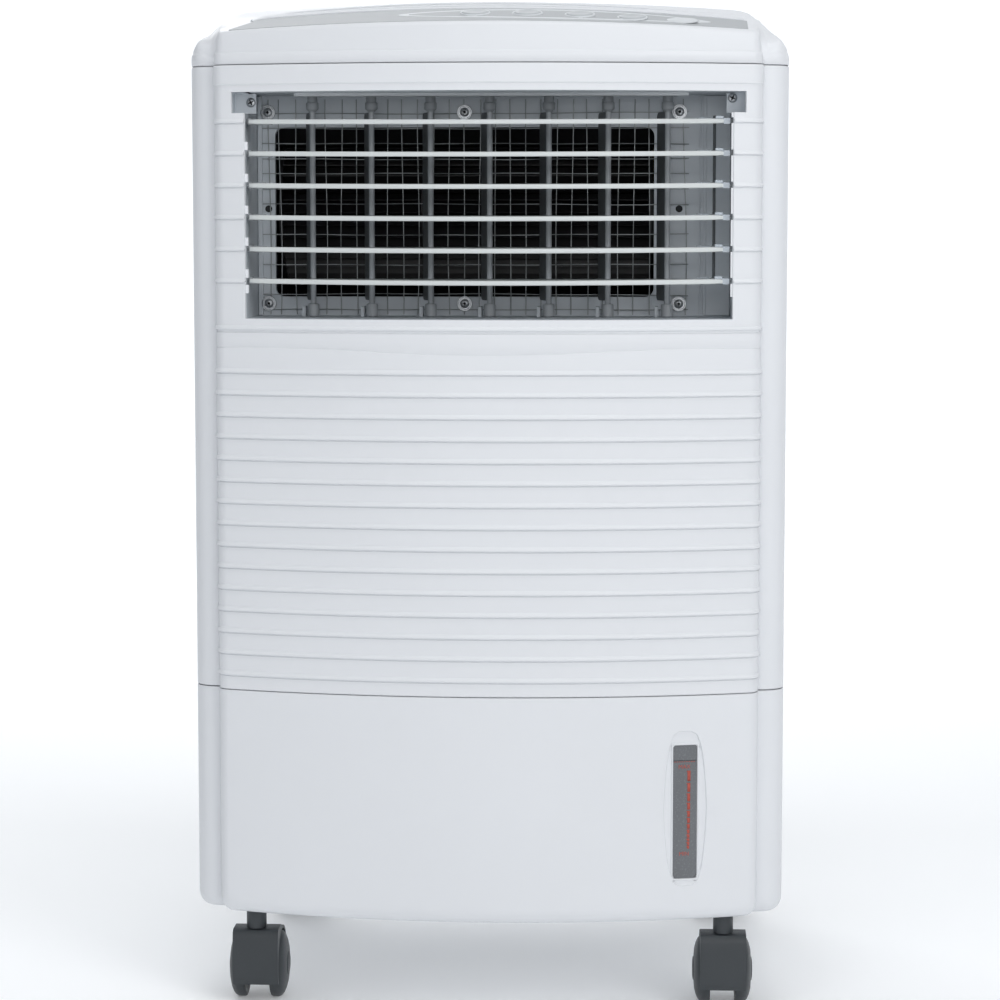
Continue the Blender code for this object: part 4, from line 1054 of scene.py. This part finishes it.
def make_outlet_tray():
    """The recess from the front face back to the flange, with a notch at each top corner."""
    tray = bmesh.new()
    inset = WALL + 0.0012
    xs = [-OUTLET_HALF + (OUTLET_RIGHT + OUTLET_HALF) * step / 48 for step in range(49)]

    def strip(*lines):
        fill_grid(tray, [[tray.verts.new(point) for point in points] for points in lines])

    def upright(x, y):
        """The side's edge at the notch, from the notch's floor to the ceiling."""
        return ((x, y, NOTCH_LOW), (x, y, OUTLET_HIGH))

    for z, order in ((OUTLET_LOW, 1), (OUTLET_HIGH, -1)):
        front = [(x, bow_y(x) + inset, z) for x in xs]
        back = [(x, FLANGE_Y, z) for x in xs]
        strip(*(front, back)[::order])
    for x, ear, order in ((-OUTLET_HALF, -NOTCH_HALF, 1), (OUTLET_RIGHT, NOTCH_RIGHT, -1)):
        front_y, ear_front = bow_y(x) + inset, bow_y(ear) + inset
        walls = [((x, y, OUTLET_LOW), (x, y, NOTCH_LOW)) for y in (front_y, FLANGE_Y)]
        for rows in (walls, [upright(x, NOTCH_Y), upright(x, FLANGE_Y)]):
            strip(*rows[::order])
        ear_faces = [(*upright(ear, NOTCH_Y), *upright(x, NOTCH_Y)[::-1])]
        ear_faces.append((*upright(ear, ear_front), *upright(ear, NOTCH_Y)[::-1]))
        for z, order in ((NOTCH_LOW, 1), (OUTLET_HIGH, -1)):
            corners = ((x, front_y, z), (ear, ear_front, z), (ear, NOTCH_Y, z), (x, NOTCH_Y, z))
            ear_faces.append(corners[::order])
        for corners in ear_faces:
            tray.faces.new([tray.verts.new(corner) for corner in corners])
    hole = [tray.verts.new((x, FLANGE_Y, z)) for x, z in rounded_points(*DUCT, 0.0065)]
    deep = [tray.verts.new((v.co.x, FLANGE_Y + 0.006, v.co.z)) for v in hole]
    flange = []
    for vertex in hole:
        share_x = (vertex.co.x - (DUCT[0] + DUCT[1]) / 2) / ((DUCT[1] - DUCT[0]) / 2)
        share_z = (vertex.co.z - (DUCT[2] + DUCT[3]) / 2) / ((DUCT[3] - DUCT[2]) / 2)
        reach = max(abs(share_x), abs(share_z), 1e-6)
        x = share_x / reach * (OUTLET_HALF if share_x < 0 else OUTLET_RIGHT)
        z = (OUTLET_LOW + OUTLET_HIGH) / 2 + share_z / reach * (OUTLET_HIGH - OUTLET_LOW) / 2
        flange.append(tray.verts.new((x, FLANGE_Y, z)))
    bridge(tray, flange, hole)
    bridge(tray, hole, deep)
    bmesh.ops.remove_doubles(tray, verts=tray.verts, dist=2e-5)
    keep(tray, "outlet_tray", "root", "recess", ["outlet_frame"], 30)


def make_outlet_trim():
    """Steps and ledges on the flange, plates behind the notches, and the pads over and under each vane."""
    trim = bmesh.new()
    low, high = OUTLET_LOW + 0.0004, OUTLET_HIGH - 0.0004

    def ledge(left, right, deep, low, high):
        add_box(trim, (left, FLANGE_Y - deep, low), (right, FLANGE_Y + 0.0002, high))

    ledge(0.1535, 0.1545, 0.0012, low, high)
    ledge(0.1562, 0.1584, 0.0022, low, high)
    ledge(0.1584, OUTLET_RIGHT - 0.0004, 0.0030, low, high)
    ledge(-0.1736, -0.1702, 0.0030, low, high)
    for x in (-0.100, -0.006, 0.060):
        ledge(x, x + 0.056, 0.0008, DUCT[3] + 0.0012, DUCT[3] + 0.0030)
    for left, right in ((-OUTLET_HALF - 0.0002, -0.1680), (0.1714, OUTLET_RIGHT + 0.0002)):
        add_box(trim, (left, NOTCH_Y, NOTCH_LOW + 0.0002), (right, NOTCH_Y + 0.0030, high))
    for x in VANES:
        for (x0, y0, z0), (x1, y1, z1) in (
            ((-0.0075, -0.0085, OUTLET_HIGH - 0.0016), (0.0075, 0.0085, OUTLET_HIGH + 0.0002)),
            ((-0.0090, 0.0050, OUTLET_LOW - 0.0002), (-0.0062, 0.0190, OUTLET_LOW + 0.0075)),
        ):
            add_box(trim, (x + x0, VANE_Y + y0, z0), (x + x1, VANE_Y + y1, z1))
    keep(trim, "outlet_steps", "root", "recess", (), 30, 0.0004)


def add_screw(solid, place, head, washer=0.0):
    """A pan-head screw with a dip in its head for the cross slot that add_cross lays in, on a washer if it
    has one; its head points along the place's Z.
    """
    if washer:
        ring = ((0, 0), (1, 0), (1, 0.0009), (0.97, 0.0012), (0.84, 0.0012), (0.80, 0.0005), (0, 0.0005))
        add_lathe(solid, [(washer * across, up) for across, up in ring], place, 36)
    lift = 0.0005 if washer else 0
    dome = [(0, lift), (head, lift + 0.0004)]
    for step in range(5):
        turn = math.pi / 12 * step
        dome.append((head * math.cos(turn), lift + 0.0006 + 0.0011 * math.sin(turn)))
    dome += [(head * 0.36, lift + 0.0016), (head * 0.30, lift + 0.0007), (0, lift + 0.0005)]
    add_lathe(solid, dome, place, 28)


def add_cross(solid, place, head, lift):
    # Flat boxes for the cross slot; the callers give them the near-black colour, painted shade for the slot.
    for turn in (math.radians(45), math.radians(135)):
        spin = place @ Matrix.Rotation(turn, 4, "Z")
        add_box(solid, (-head * 0.62, -head * 0.13, lift), (head * 0.62, head * 0.13, lift + 0.00085), spin)


def make_flange_screws():
    shiny, dark = bmesh.new(), bmesh.new()
    for x in (SCREW_LEFT, -0.020, SCREW_RIGHT):
        for z in (0.661, 0.520):
            turn = Matrix.Rotation(x * 40 + z * 9, 4, "Z")
            place = Matrix.Translation((x, FLANGE_Y - 0.0018, z)) @ TO_FRONT @ turn
            add_screw(shiny, place, 0.0033, 0.0056)
            add_cross(dark, place, 0.0033, 0.0012)
    for x, z in ((-0.1718, 0.6663), (0.1757, 0.6690)):
        place = Matrix.Translation((x, NOTCH_Y - 0.0001, z)) @ TO_FRONT @ Matrix.Rotation(x * 2, 4, "Z")
        add_screw(shiny, place, 0.0034)
        add_cross(dark, place, 0.0034, 0.0008)
    keep(shiny, "outlet_screws", "root", "steel", (), 40)
    # The slots' near-black is painted shade in the cross slots.
    keep(dark, "outlet_screw_slots", "root", "dark", (), 40)


def make_wire_guard():
    """A hand-bent guard: thin rods, none of them quite straight."""
    draw = random.Random(11)
    wires = bmesh.new()
    outline = round_outline(0.00036, 6)
    left, right, low, high = -0.1715, 0.1455, 0.5118, 0.6705
    rows = [0.5155 + 0.01115 * index for index in range(14)]
    columns = [left + 0.0030 + 0.0114 * index for index in range(28)]
    for z in rows:
        bend = draw.uniform(-0.0007, 0.0007)
        tip = draw.uniform(-0.0006, 0.0006)
        points = []
        for step in range(25):
            share = step / 24
            ripple = 0.0002 * math.sin(share * 21 + z * 900)
            sag = bend * math.sin(math.pi * share * 1.3) + tip * share + ripple
            points.append((left + (right - left) * share, FLANGE_Y - 0.0018, z + sag))
        add_sweep(wires, points, outline)
    for x in columns:
        if any(abs(x - screw) < 0.0030 for screw in (SCREW_LEFT, SCREW_RIGHT)):
            x += 0.0035
        lean = draw.uniform(-0.0016, 0.0016)
        bow = draw.uniform(-0.0011, 0.0011)
        points = []
        for step in range(17):
            share = step / 16
            across = x + lean * (share - 0.5) + bow * math.sin(math.pi * share * 1.6)
            tall = high - low - draw.uniform(0, 0.0001)
            points.append((across, FLANGE_Y - 0.0010, low + tall * share))
        add_upright(wires, points, outline)
    keep(wires, "guard_wires", "root", "wire", ["wire_guard"], 60)


# ---------------------------------------------------------------- louvers and vanes

LOUVER_TILT = math.radians(2.5)
BLADE_LEFT, BLADE_RIGHT = -0.1712, 0.1690
LINK_X, LINK_REACH = 0.1632, 0.0185


def blade_section(x, pinch):
    """The blade's section at x, as (y, z) from its pivot: its nose follows the bow."""
    nose, back = bow_y(x) + 0.0064 - LOUVER_Y, 0.0080
    section = [(nose + 0.0001, 0.0), (nose + 0.0002, 0.0012), (nose + 0.0008, 0.0017)]
    section += [(nose + 0.0024, 0.0017), (nose + 0.0040, 0.0011)]
    section += [((nose + back) / 2, 0.0010), (back - 0.001, 0.0007), (back, 0.0)]
    section += [(y, -z) for y, z in section[-2:0:-1]]
    return [(y, z * pinch) for y, z in section]


def make_louvers():
    for number, z in enumerate(LOUVERS, 1):
        place = Matrix.Translation((0, LOUVER_Y, z)) @ Matrix.Rotation(LOUVER_TILT, 4, "X")
        make_louver_blade(f"louver_{number}", place)
        make_louver_ends(f"louver_{number}", place)
    make_pivot_strips()
    make_link_bar()


def make_louver_blade(body, place):
    blade = bmesh.new()
    steps = 72
    lines = []
    for step in range(steps + 1):
        x = BLADE_LEFT + (BLADE_RIGHT - BLADE_LEFT) * step / steps
        section = blade_section(x, 0.85 if step in (0, steps) else 1.0)
        lines.append([blade.verts.new((x, y, up)) for y, up in section])
    add_tube(blade, lines)
    bmesh.ops.transform(blade, matrix=place, verts=blade.verts)
    bmesh.ops.recalc_face_normals(blade, faces=blade.faces)
    keep(blade, f"{body}_blade", body, "louver", [body], 40)


def make_louver_ends(body, place):
    """Pins at both ends, and at the right a clear clip whose crank takes the link."""
    ends = bmesh.new()
    add_rod(ends, (-0.1755, 0, 0), (-0.160, 0, 0), 0.0019)
    add_rod(ends, (0.160, 0, 0), (0.1772, 0, 0), 0.0019)
    add_box(ends, (-0.1722, -0.0060, -0.0023), (-0.1702, 0.0065, 0.0023))
    add_box(ends, (-0.1702, 0.0010, -0.0026), (-0.1560, 0.0070, -0.0008))
    clip = bmesh.new()
    add_box(clip, (0.1686, -0.0100, -0.0021), (0.1738, 0.0040, 0.0021))
    add_box(clip, (0.1632, -0.0100, 0.0017), (0.1688, -0.0040, 0.0036))
    add_box(clip, (0.1661, 0.0030, -0.0021), (0.1681, 0.0205, 0.0021))
    add_box(clip, (0.1500, 0.0010, 0.0012), (0.1600, 0.0060, 0.0022))
    add_rod(clip, (0.1612, LINK_REACH, 0), (0.1670, LINK_REACH, 0), 0.0012)
    for solid in (ends, clip):
        bmesh.ops.transform(solid, matrix=place, verts=solid.verts)
    keep(ends, f"{body}_pins", body, "rod", (), 40, 0.0003)
    keep(clip, f"{body}_clip", body, "clip", (), 40, 0.0004)


def make_link_bar():
    """The upright link with an eye on each louver's crank."""
    bar = bmesh.new()
    link_y = LOUVER_Y + LINK_REACH * math.cos(LOUVER_TILT)
    pivots = [z + LINK_REACH * math.sin(LOUVER_TILT) for z in LOUVERS]
    points = [(LINK_X, link_y, pivots[-1] - 0.0035), (LINK_X, link_y, pivots[0] + 0.0035)]
    add_upright(bar, points, [(0.0011 * x, 0.0021 * y) for x, y in round_outline(1, 12)])
    for z in pivots:
        add_rod(bar, (LINK_X - 0.0012, link_y, z), (LINK_X + 0.0012, link_y, z), 0.0027, 20)
    keep(bar, "louver_link_bar", "louver_link", "vane", ["louver_link"], 40)


def make_pivot_strips():
    """White tabs between the louvers at the left, and a strip between their pins at the right."""
    strips = bmesh.new()
    front_y = bow_y(OUTLET_HALF)
    for z in [*LOUVERS[1:], LOUVERS[-1] - 0.0112]:
        low = (-OUTLET_HALF - 0.0004, front_y + 0.0012, z + 0.0020)
        add_box(strips, low, (-0.1716, front_y + 0.0062, z + 0.0080))
    pin = 0.0021
    spans = [(low + pin, high - pin) for high, low in zip(LOUVERS, LOUVERS[1:])]
    spans += [(LOUVERS[0] + pin, NOTCH_LOW), (LOUVERS[-1] - 0.0115, LOUVERS[-1] - pin)]
    for low, high in spans:
        add_box(strips, (0.1744, front_y + 0.0016, low), (OUTLET_RIGHT + 0.0004, front_y + 0.0054, high))
    keep(strips, "louver_pivot_strips", "root", "white", (), 30, 0.0003)


def make_vanes():
    """A vane is a round rod with a dark blade behind it, a boss at its foot and a stepped head."""
    profile = (
        (0, 0.5092), (0.0025, 0.5092), (0.0025, 0.5114), (0.0039, 0.5114), (0.0043, 0.5119),
        (0.0043, 0.5196), (0.0039, 0.5205), (0.0021, 0.5209), (0.0021, 0.6600), (0.0028, 0.6606),
        (0.0033, 0.6612), (0.0043, 0.6618), (0.0046, 0.6626), (0.0046, 0.6664), (0.0042, 0.6670),
        (0.0037, 0.6672), (0.0037, 0.6724), (0.0034, 0.6728), (0.0025, 0.6730), (0.0025, 0.6900), (0, 0.6900),
    )
    turn = Matrix.Rotation(math.radians(15), 4, "Z")
    crank_y = VANE_Y + 0.012
    for number, x in enumerate(VANES, 1):
        body = f"vane_{number}"
        place = Matrix.Translation((x, VANE_Y, 0))
        rod = bmesh.new()
        add_lathe(rod, profile[::-1], place, 28)
        add_box(rod, (x - 0.0024, VANE_Y - 0.0035, 0.6768), (x + 0.0024, crank_y + 0.0024, 0.6795))
        add_rod(rod, (x, crank_y, 0.6780), (x, crank_y, 0.6835), 0.0012)
        bmesh.ops.recalc_face_normals(rod, faces=rod.faces)
        keep(rod, f"{body}_rod", body, "rod", [body], 35)
        blade = bmesh.new()
        add_prism(blade, rounded_points(0.0010, 0.0270, 0.5228, 0.6602, 0.0035, 5), 0.0008)
        bmesh.ops.transform(blade, matrix=place @ turn, verts=blade.verts)
        keep(blade, f"{body}_blade", body, "vane", (), 30, 0.0004)
    for node, look in (("vane_link", "rod"), ("vane_motor", "steel")):
        dress(node, look)


def make_blower():
    dress("blower_housing", "black", 0.0005)
    dress("blower_motor", "steel", 0.0015)
    wheel = bmesh.new()
    left, right, radius, blades = -0.160, 0.119, 0.056, 36
    centre = Matrix.Translation((0, BLOWER_Y, BLOWER_Z))
    for x in (left, left / 3, right - 0.002):
        ring = ((0.0045, x), (radius, x), (radius, x + 0.002), (0.0045, x + 0.002), (0.0045, x))
        add_lathe(wheel, ring, centre @ Matrix.Rotation(math.pi / 2, 4, "Y"), 64)
    lean = Matrix.Translation((0, 0, radius - 0.0062)) @ Matrix.Rotation(math.radians(32), 4, "X")
    for index in range(blades):
        spin = centre @ Matrix.Rotation(2 * math.pi * index / blades, 4, "X")
        add_box(wheel, (left + 0.001, -0.0004, -0.0055), (right - 0.001, 0.0004, 0.0055), spin @ lean)
    add_rod(wheel, (-0.165, BLOWER_Y, BLOWER_Z), (0.150, BLOWER_Y, BLOWER_Z), 0.004, 20)
    keep(wheel, "blower_wheel_blades", "blower_wheel", "black", ["blower_wheel"], 35)


# ---------------------------------------------------------------- water parts


def grid_border(grid):
    """The vertices round the edge of a grid, in order."""
    right, left = [line[-1] for line in grid[1:]], [line[0] for line in grid[-2:0:-1]]
    return [*grid[0], *right, *grid[-1][-2::-1], *left]


def make_pad():
    """Corrugated paper: the flutes slant one way on the front and the other way on the back."""
    pad = bmesh.new()
    left, right, low, high, front, back = -0.165, 0.165, 0.285, 0.664, 0.130, 0.162
    columns, rows = 150, 120
    faces = []
    for y, way in ((front, -1), (back, 1)):
        grid = []
        for row in range(rows + 1):
            z = low + (high - low) * row / rows
            line = []
            for column in range(columns + 1):
                x = left + (right - left) * column / columns
                rim = row in (0, rows) or column in (0, columns)
                depth = 0 if rim else 0.0011 * (1 + math.sin((x + way * z) * 2 * math.pi / 0.0095))
                line.append(pad.verts.new((x, y - way * depth, z)))
            grid.append(line)
        fill_grid(pad, grid, way > 0)
        faces.append(grid_border(grid))
    bridge(pad, *[border[::-1] for border in faces])
    keep(pad, "pad_flutes", "root", "pad", ["cooling_pad"], 60)


HOSE_ROUTE = (
    (0.120, 0.148, 0.1506), (0.120, 0.147, 0.180), (0.126, 0.142, 0.225), (0.160, 0.120, 0.262),
    (0.183, 0.114, 0.310), (0.186, 0.114, 0.420), (0.186, 0.114, 0.560), (0.185, 0.114, 0.640),
    (0.183, 0.119, 0.682), (0.174, 0.133, 0.702), (0.160, 0.146, 0.700), (0.153, 0.149, 0.684),
)


def smooth_route(points, steps):
    """A Catmull-Rom curve through the points."""
    route = [Vector(point) for point in points]
    ends = [2 * route[0] - route[1], *route, 2 * route[-1] - route[-2]]
    smooth = []
    for before, start, end, after in zip(ends, ends[1:], ends[2:], ends[3:]):
        for step in range(steps):
            t = step / steps
            bend = (2 * before - 5 * start + 4 * end - after) * t * t
            twist = (3 * start - before - 3 * end + after) * t**3
            smooth.append(0.5 * (2 * start + (end - before) * t + bend + twist))
    return [*smooth, route[-1]]


def make_wet_parts():
    make_pad()
    hose = bpy.data.curves.new("water_hose_tube", "CURVE")
    hose.dimensions = "3D"
    hose.bevel_depth = 0.0039
    hose.bevel_resolution = 5
    hose.use_fill_caps = True
    points = smooth_route(HOSE_ROUTE, 8)
    spline = hose.splines.new("POLY")
    spline.points.add(len(points) - 1)
    for place, point in zip(spline.points, points):
        place.co = (*point, 1)
    spline.use_smooth = True
    tube = bpy.data.objects.new("water_hose_tube", hose)
    bpy.context.scene.collection.objects.link(tube)
    hose.materials.append(LOOKS["hose"])
    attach(tube, "root")
    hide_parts("water_hose")
    for node, look, bevel in (
        ("water_tank", "white", 0.0008),
        ("tank_latch", "white", 0.0004),
        ("water_tray", "black", 0.0004),
        ("pump", "black", 0.0006),
        ("control_board", "board", 0.0001),
        ("cord_gland", "charcoal", 0.0005),
        ("dust_filter", "filter", 0.0004),
    ):
        dress(node, look, bevel)
    bars = bmesh.new()
    for side in (-1, 1):
        add_box(bars, (side * 0.100 - 0.0012, 0.1880, 0.1000), (side * 0.100 + 0.0012, 0.18855, 0.1700))
    for z in (0.100, 0.110, 0.120):
        add_box(bars, (-0.140, 0.1880, z), (0.140, 0.18845, z + 0.0022))
    keep(bars, "tank_panel_ribs", "water_tank", "white", (), 40, 0.0002)


def make_rear_grille():
    """The grille's bars, with two thinner slanted slats in each gap, on the plate's own frame."""
    dress("rear_grille", "white", 0.0007)
    slats = bmesh.new()
    rows, bar, low = 15, 0.010, 0.270
    pitch = (0.660 - low + bar) / rows
    lean = Matrix.Rotation(math.radians(-24), 4, "X")
    for row in range(rows):
        for left, right in ((-0.1602, -0.0038), (0.0038, 0.1602)):
            for share in (1 / 3, 2 / 3):
                place = Matrix.Translation((0, 0.1898, low + pitch * row + (pitch - bar) * share)) @ lean
                add_box(slats, (left, -0.0042, -0.0007), (right, 0.0010, 0.0007), place)
    for side in (-1, 1):
        for x in (0.043, 0.082, 0.121):
            add_box(slats, (side * x - 0.0011, 0.1862, 0.2640), (side * x + 0.0011, 0.1892, 0.6660))
    keep(slats, "grille_slats", "rear_grille", "white", (), 40, 0.0002)
    screws, slots = bmesh.new(), bmesh.new()
    for side, z in ((-1, 0.650), (1, 0.650), (1, 0.300), (-1, 0.330), (-1, 0.490), (1, 0.490)):
        place = Matrix.Translation((side * 0.1885, 0.1884, z)) @ TO_BACK
        add_screw(screws, place, 0.0030)
        add_cross(slots, place, 0.0030, 0.0008)
    keep(screws, "rear_screws", "root", "steel", (), 40)
    # The slots' near-black is painted shade in the cross slots.
    keep(slots, "rear_screw_slots", "root", "dark", (), 40)


# ---------------------------------------------------------------- casters

HOOD_TOP = 0.0565
WHEEL_PROFILE = (
    (0, 0.0224), (0.0060, 0.0223), (0.0085, 0.0219), (0.0090, 0.0214), (0.0150, 0.0209), (0.0190, 0.0199),
    (0.0222, 0.0185), (0.0240, 0.0170), (0.0249, 0.0152), (0.0250, 0.0140), (0.0250, 0.0106),
    (0.0246, 0.0096), (0.0236, 0.0092), (0.0215, 0.0092), (0.0200, 0.0104), (0.0110, 0.0104),
    (0.0090, 0.0092), (0.0034, 0.0092), (0.0034, 0.0192), (0, 0.0192),
)
STEM_PROFILE = (
    (0, 0.0960), (0.0046, 0.0960), (0.0048, 0.0955), (0.0048, 0.0738), (0.0072, 0.0738), (0.0074, 0.0733),
    (0.0074, 0.0574), (0.0070, 0.0568), (0.0048, 0.0568), (0.0048, 0.0445), (0, 0.0445),
)


def hood_outline():
    """The hood from the side, as (y, z) from the stem and the floor: round the wheels, flat on top."""
    axle, outer, inner, degrees = (TRAIL, WHEEL_RADIUS), 0.0284, 0.0263, math.radians
    points = arc(axle, outer, degrees(12), degrees(92), 16)
    points += [(0.0135, 0.0552), (0.0105, HOOD_TOP), (-0.0050, HOOD_TOP), (-0.0076, 0.0559)]
    points += [(-0.0090, 0.0540), (-0.0098, 0.0500), (-0.0102, 0.0430), (-0.0103, 0.0340)]
    points += arc(axle, outer, degrees(182), degrees(201), 6)
    return points + arc(axle, inner, degrees(201), degrees(12), 36)


def carved(solid, cutter):
    """The first bmesh less the second, as a new one."""
    shapes = []
    for source in (solid, cutter):
        mesh = bpy.data.meshes.new("work")
        source.to_mesh(mesh)
        source.free()
        shape = bpy.data.objects.new("work", mesh)
        bpy.context.scene.collection.objects.link(shape)
        shapes.append(shape)
    cut = shapes[0].modifiers.new("Cut", "BOOLEAN")
    cut.operation, cut.solver, cut.object = "DIFFERENCE", "EXACT", shapes[1]
    bpy.context.view_layer.update()
    mesh = mesh_of(shapes[0])
    for shape in shapes:
        bpy.data.objects.remove(shape)
    result = bmesh.new()
    result.from_mesh(mesh)
    return result


def make_casters():
    for name, (x, y) in CASTERS.items():
        body = f"caster_{name}"
        place = Matrix.Translation((x, y, 0))
        axle = Matrix.Translation((x, y + TRAIL, WHEEL_RADIUS))
        for letter, side in (("a", -1), ("b", 1)):
            wheel = bmesh.new()
            add_lathe(wheel, WHEEL_PROFILE, axle @ Matrix.Rotation(side * math.pi / 2, 4, "Y"), 56)
            bmesh.ops.recalc_face_normals(wheel, faces=wheel.faces)
            wheel_body = f"{body}_wheel_{letter}"
            keep(wheel, f"{body}_disc_{letter}", wheel_body, "charcoal", [wheel_body], 28)
        hood, bore, web = bmesh.new(), bmesh.new(), bmesh.new()
        add_prism(hood, hood_outline(), 0.0169)
        add_rod(bore, (0, 0, 0.030), (0, 0, 0.070), 0.0056, 32)
        bmesh.ops.recalc_face_normals(bore, faces=bore.faces)
        hood = carved(hood, bore)
        centre = (TRAIL, WHEEL_RADIUS)
        add_prism(web, [centre, *arc(centre, 0.0270, math.radians(12), math.radians(199), 24)], 0.0078)
        for solid in (hood, web):
            bmesh.ops.transform(solid, matrix=place, verts=solid.verts)
            bmesh.ops.recalc_face_normals(solid, faces=solid.faces)
        keep(hood, f"{body}_shell", body, "charcoal", [f"{body}_hood"], 35, 0.0008)
        keep(web, f"{body}_web", body, "charcoal", (), 35)
        stem = bmesh.new()
        add_lathe(stem, STEM_PROFILE, place, 36)
        keep(stem, f"{body}_pin", "root", "charcoal", [f"{body}_stem"], 35)


# ---------------------------------------------------------------- studio


def make_camera():
    camera = bpy.data.cameras.new("camera")
    camera.lens, camera.sensor_width = 105.0, 36.0
    holder = bpy.data.objects.new("camera", camera)
    bpy.context.scene.collection.objects.link(holder)
    holder.location = (0.111, -2.258, 0.582)
    holder.rotation_euler = (math.radians(90 - 5.49), 0, math.radians(2.77))
    bpy.context.scene.camera = holder


def area_light(name, place, target, size, power, colour=(1, 1, 1)):
    light = bpy.data.lights.new(name, "AREA")
    light.shape = "RECTANGLE"
    light.size, light.size_y = size
    light.energy = power
    light.color = colour
    holder = bpy.data.objects.new(name, light)
    bpy.context.scene.collection.objects.link(holder)
    holder.location = place
    holder.rotation_euler = (Vector(target) - Vector(place)).to_track_quat("-Z", "Y").to_euler()


def set_glow(material, strength):
    glow = material.node_tree.nodes["Principled BSDF"]
    glow.inputs["Emission Color"].default_value = (0.97, 0.985, 1.0, 1)
    glow.inputs["Emission Strength"].default_value = strength
    return glow


def glow_behind(material, near, far):
    """Raises a floor's glow behind the object, where the lamps don't reach, so that it meets the screen."""
    shader = set_glow(material, near)
    tree = material.node_tree
    where = tree.nodes.new("ShaderNodeNewGeometry")
    axes = tree.nodes.new("ShaderNodeSeparateXYZ")
    reach = tree.nodes.new("ShaderNodeMapRange")
    for socket, value in (("From Min", 0.5), ("From Max", 2.3), ("To Min", near), ("To Max", far)):
        reach.inputs[socket].default_value = value
    tree.links.new(where.outputs["Position"], axes.inputs["Vector"])
    tree.links.new(axes.outputs["Y"], reach.inputs["Value"])
    tree.links.new(reach.outputs["Result"], shader.inputs["Emission Strength"])


def make_studio():
    """A pale floor and an upright screen behind it, four soft lamps and a faint sky."""
    scene = bpy.context.scene
    world = bpy.data.worlds.new("studio")
    scene.world = world
    world.use_nodes = True
    sky = world.node_tree.nodes["Background"]
    sky.inputs["Color"].default_value = (0.93, 0.96, 1.0, 1)
    sky.inputs["Strength"].default_value = 0.48
    scene.view_settings.view_transform = "Standard"
    pale = (0.84, 0.85, 0.86)
    papers = [plastic(name, pale, 0.7, 300, 0.02, 0.005) for name in ("pale_floor", "pale_screen")]
    glow_behind(papers[0], 0.16, 0.50)
    set_glow(papers[1], 0.47)
    stages = (("floor", 12, (0, 0, 0), 0), ("screen", 5.6, (0, 5.5, 5.5), math.pi / 2))
    for paper, (name, size, place, tilt) in zip(papers, stages):
        sheet = bmesh.new()
        bmesh.ops.create_grid(sheet, x_segments=1, y_segments=1, size=size)
        mesh = bpy.data.meshes.new(name)
        sheet.to_mesh(mesh)
        sheet.free()
        mesh.materials.append(paper)
        holder = bpy.data.objects.new(name, mesh)
        scene.collection.objects.link(holder)
        holder.location = place
        holder.rotation_euler = (tilt, 0, 0)
    area_light("key", (1.5, -2.1, 1.5), (0, 0, 0.42), (1.1, 1.1), 16, (1.0, 0.99, 0.98))
    area_light("top", (0.1, -0.9, 2.5), (0, -0.1, 0.5), (1.0, 0.8), 13)
    area_light("front", (0.25, -2.7, 0.95), (0, 0, 0.42), (1.3, 0.7), 8.5)
    area_light("back", (-0.8, 2.2, 1.8), (0, 0, 0.45), (1.4, 1.4), 13)


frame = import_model()
for leftover in list(bpy.context.scene.objects):
    if leftover.name in ("Cube", "Light", "Camera"):
        bpy.data.objects.remove(leftover)
make_camera()
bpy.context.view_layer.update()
make_front_shell()
make_base()
make_rear_shell()
make_cover()
make_controls()
make_outlet_frame()
make_wire_guard()
make_louvers()
make_vanes()
make_blower()
make_wet_parts()
make_rear_grille()
make_casters()
make_studio()
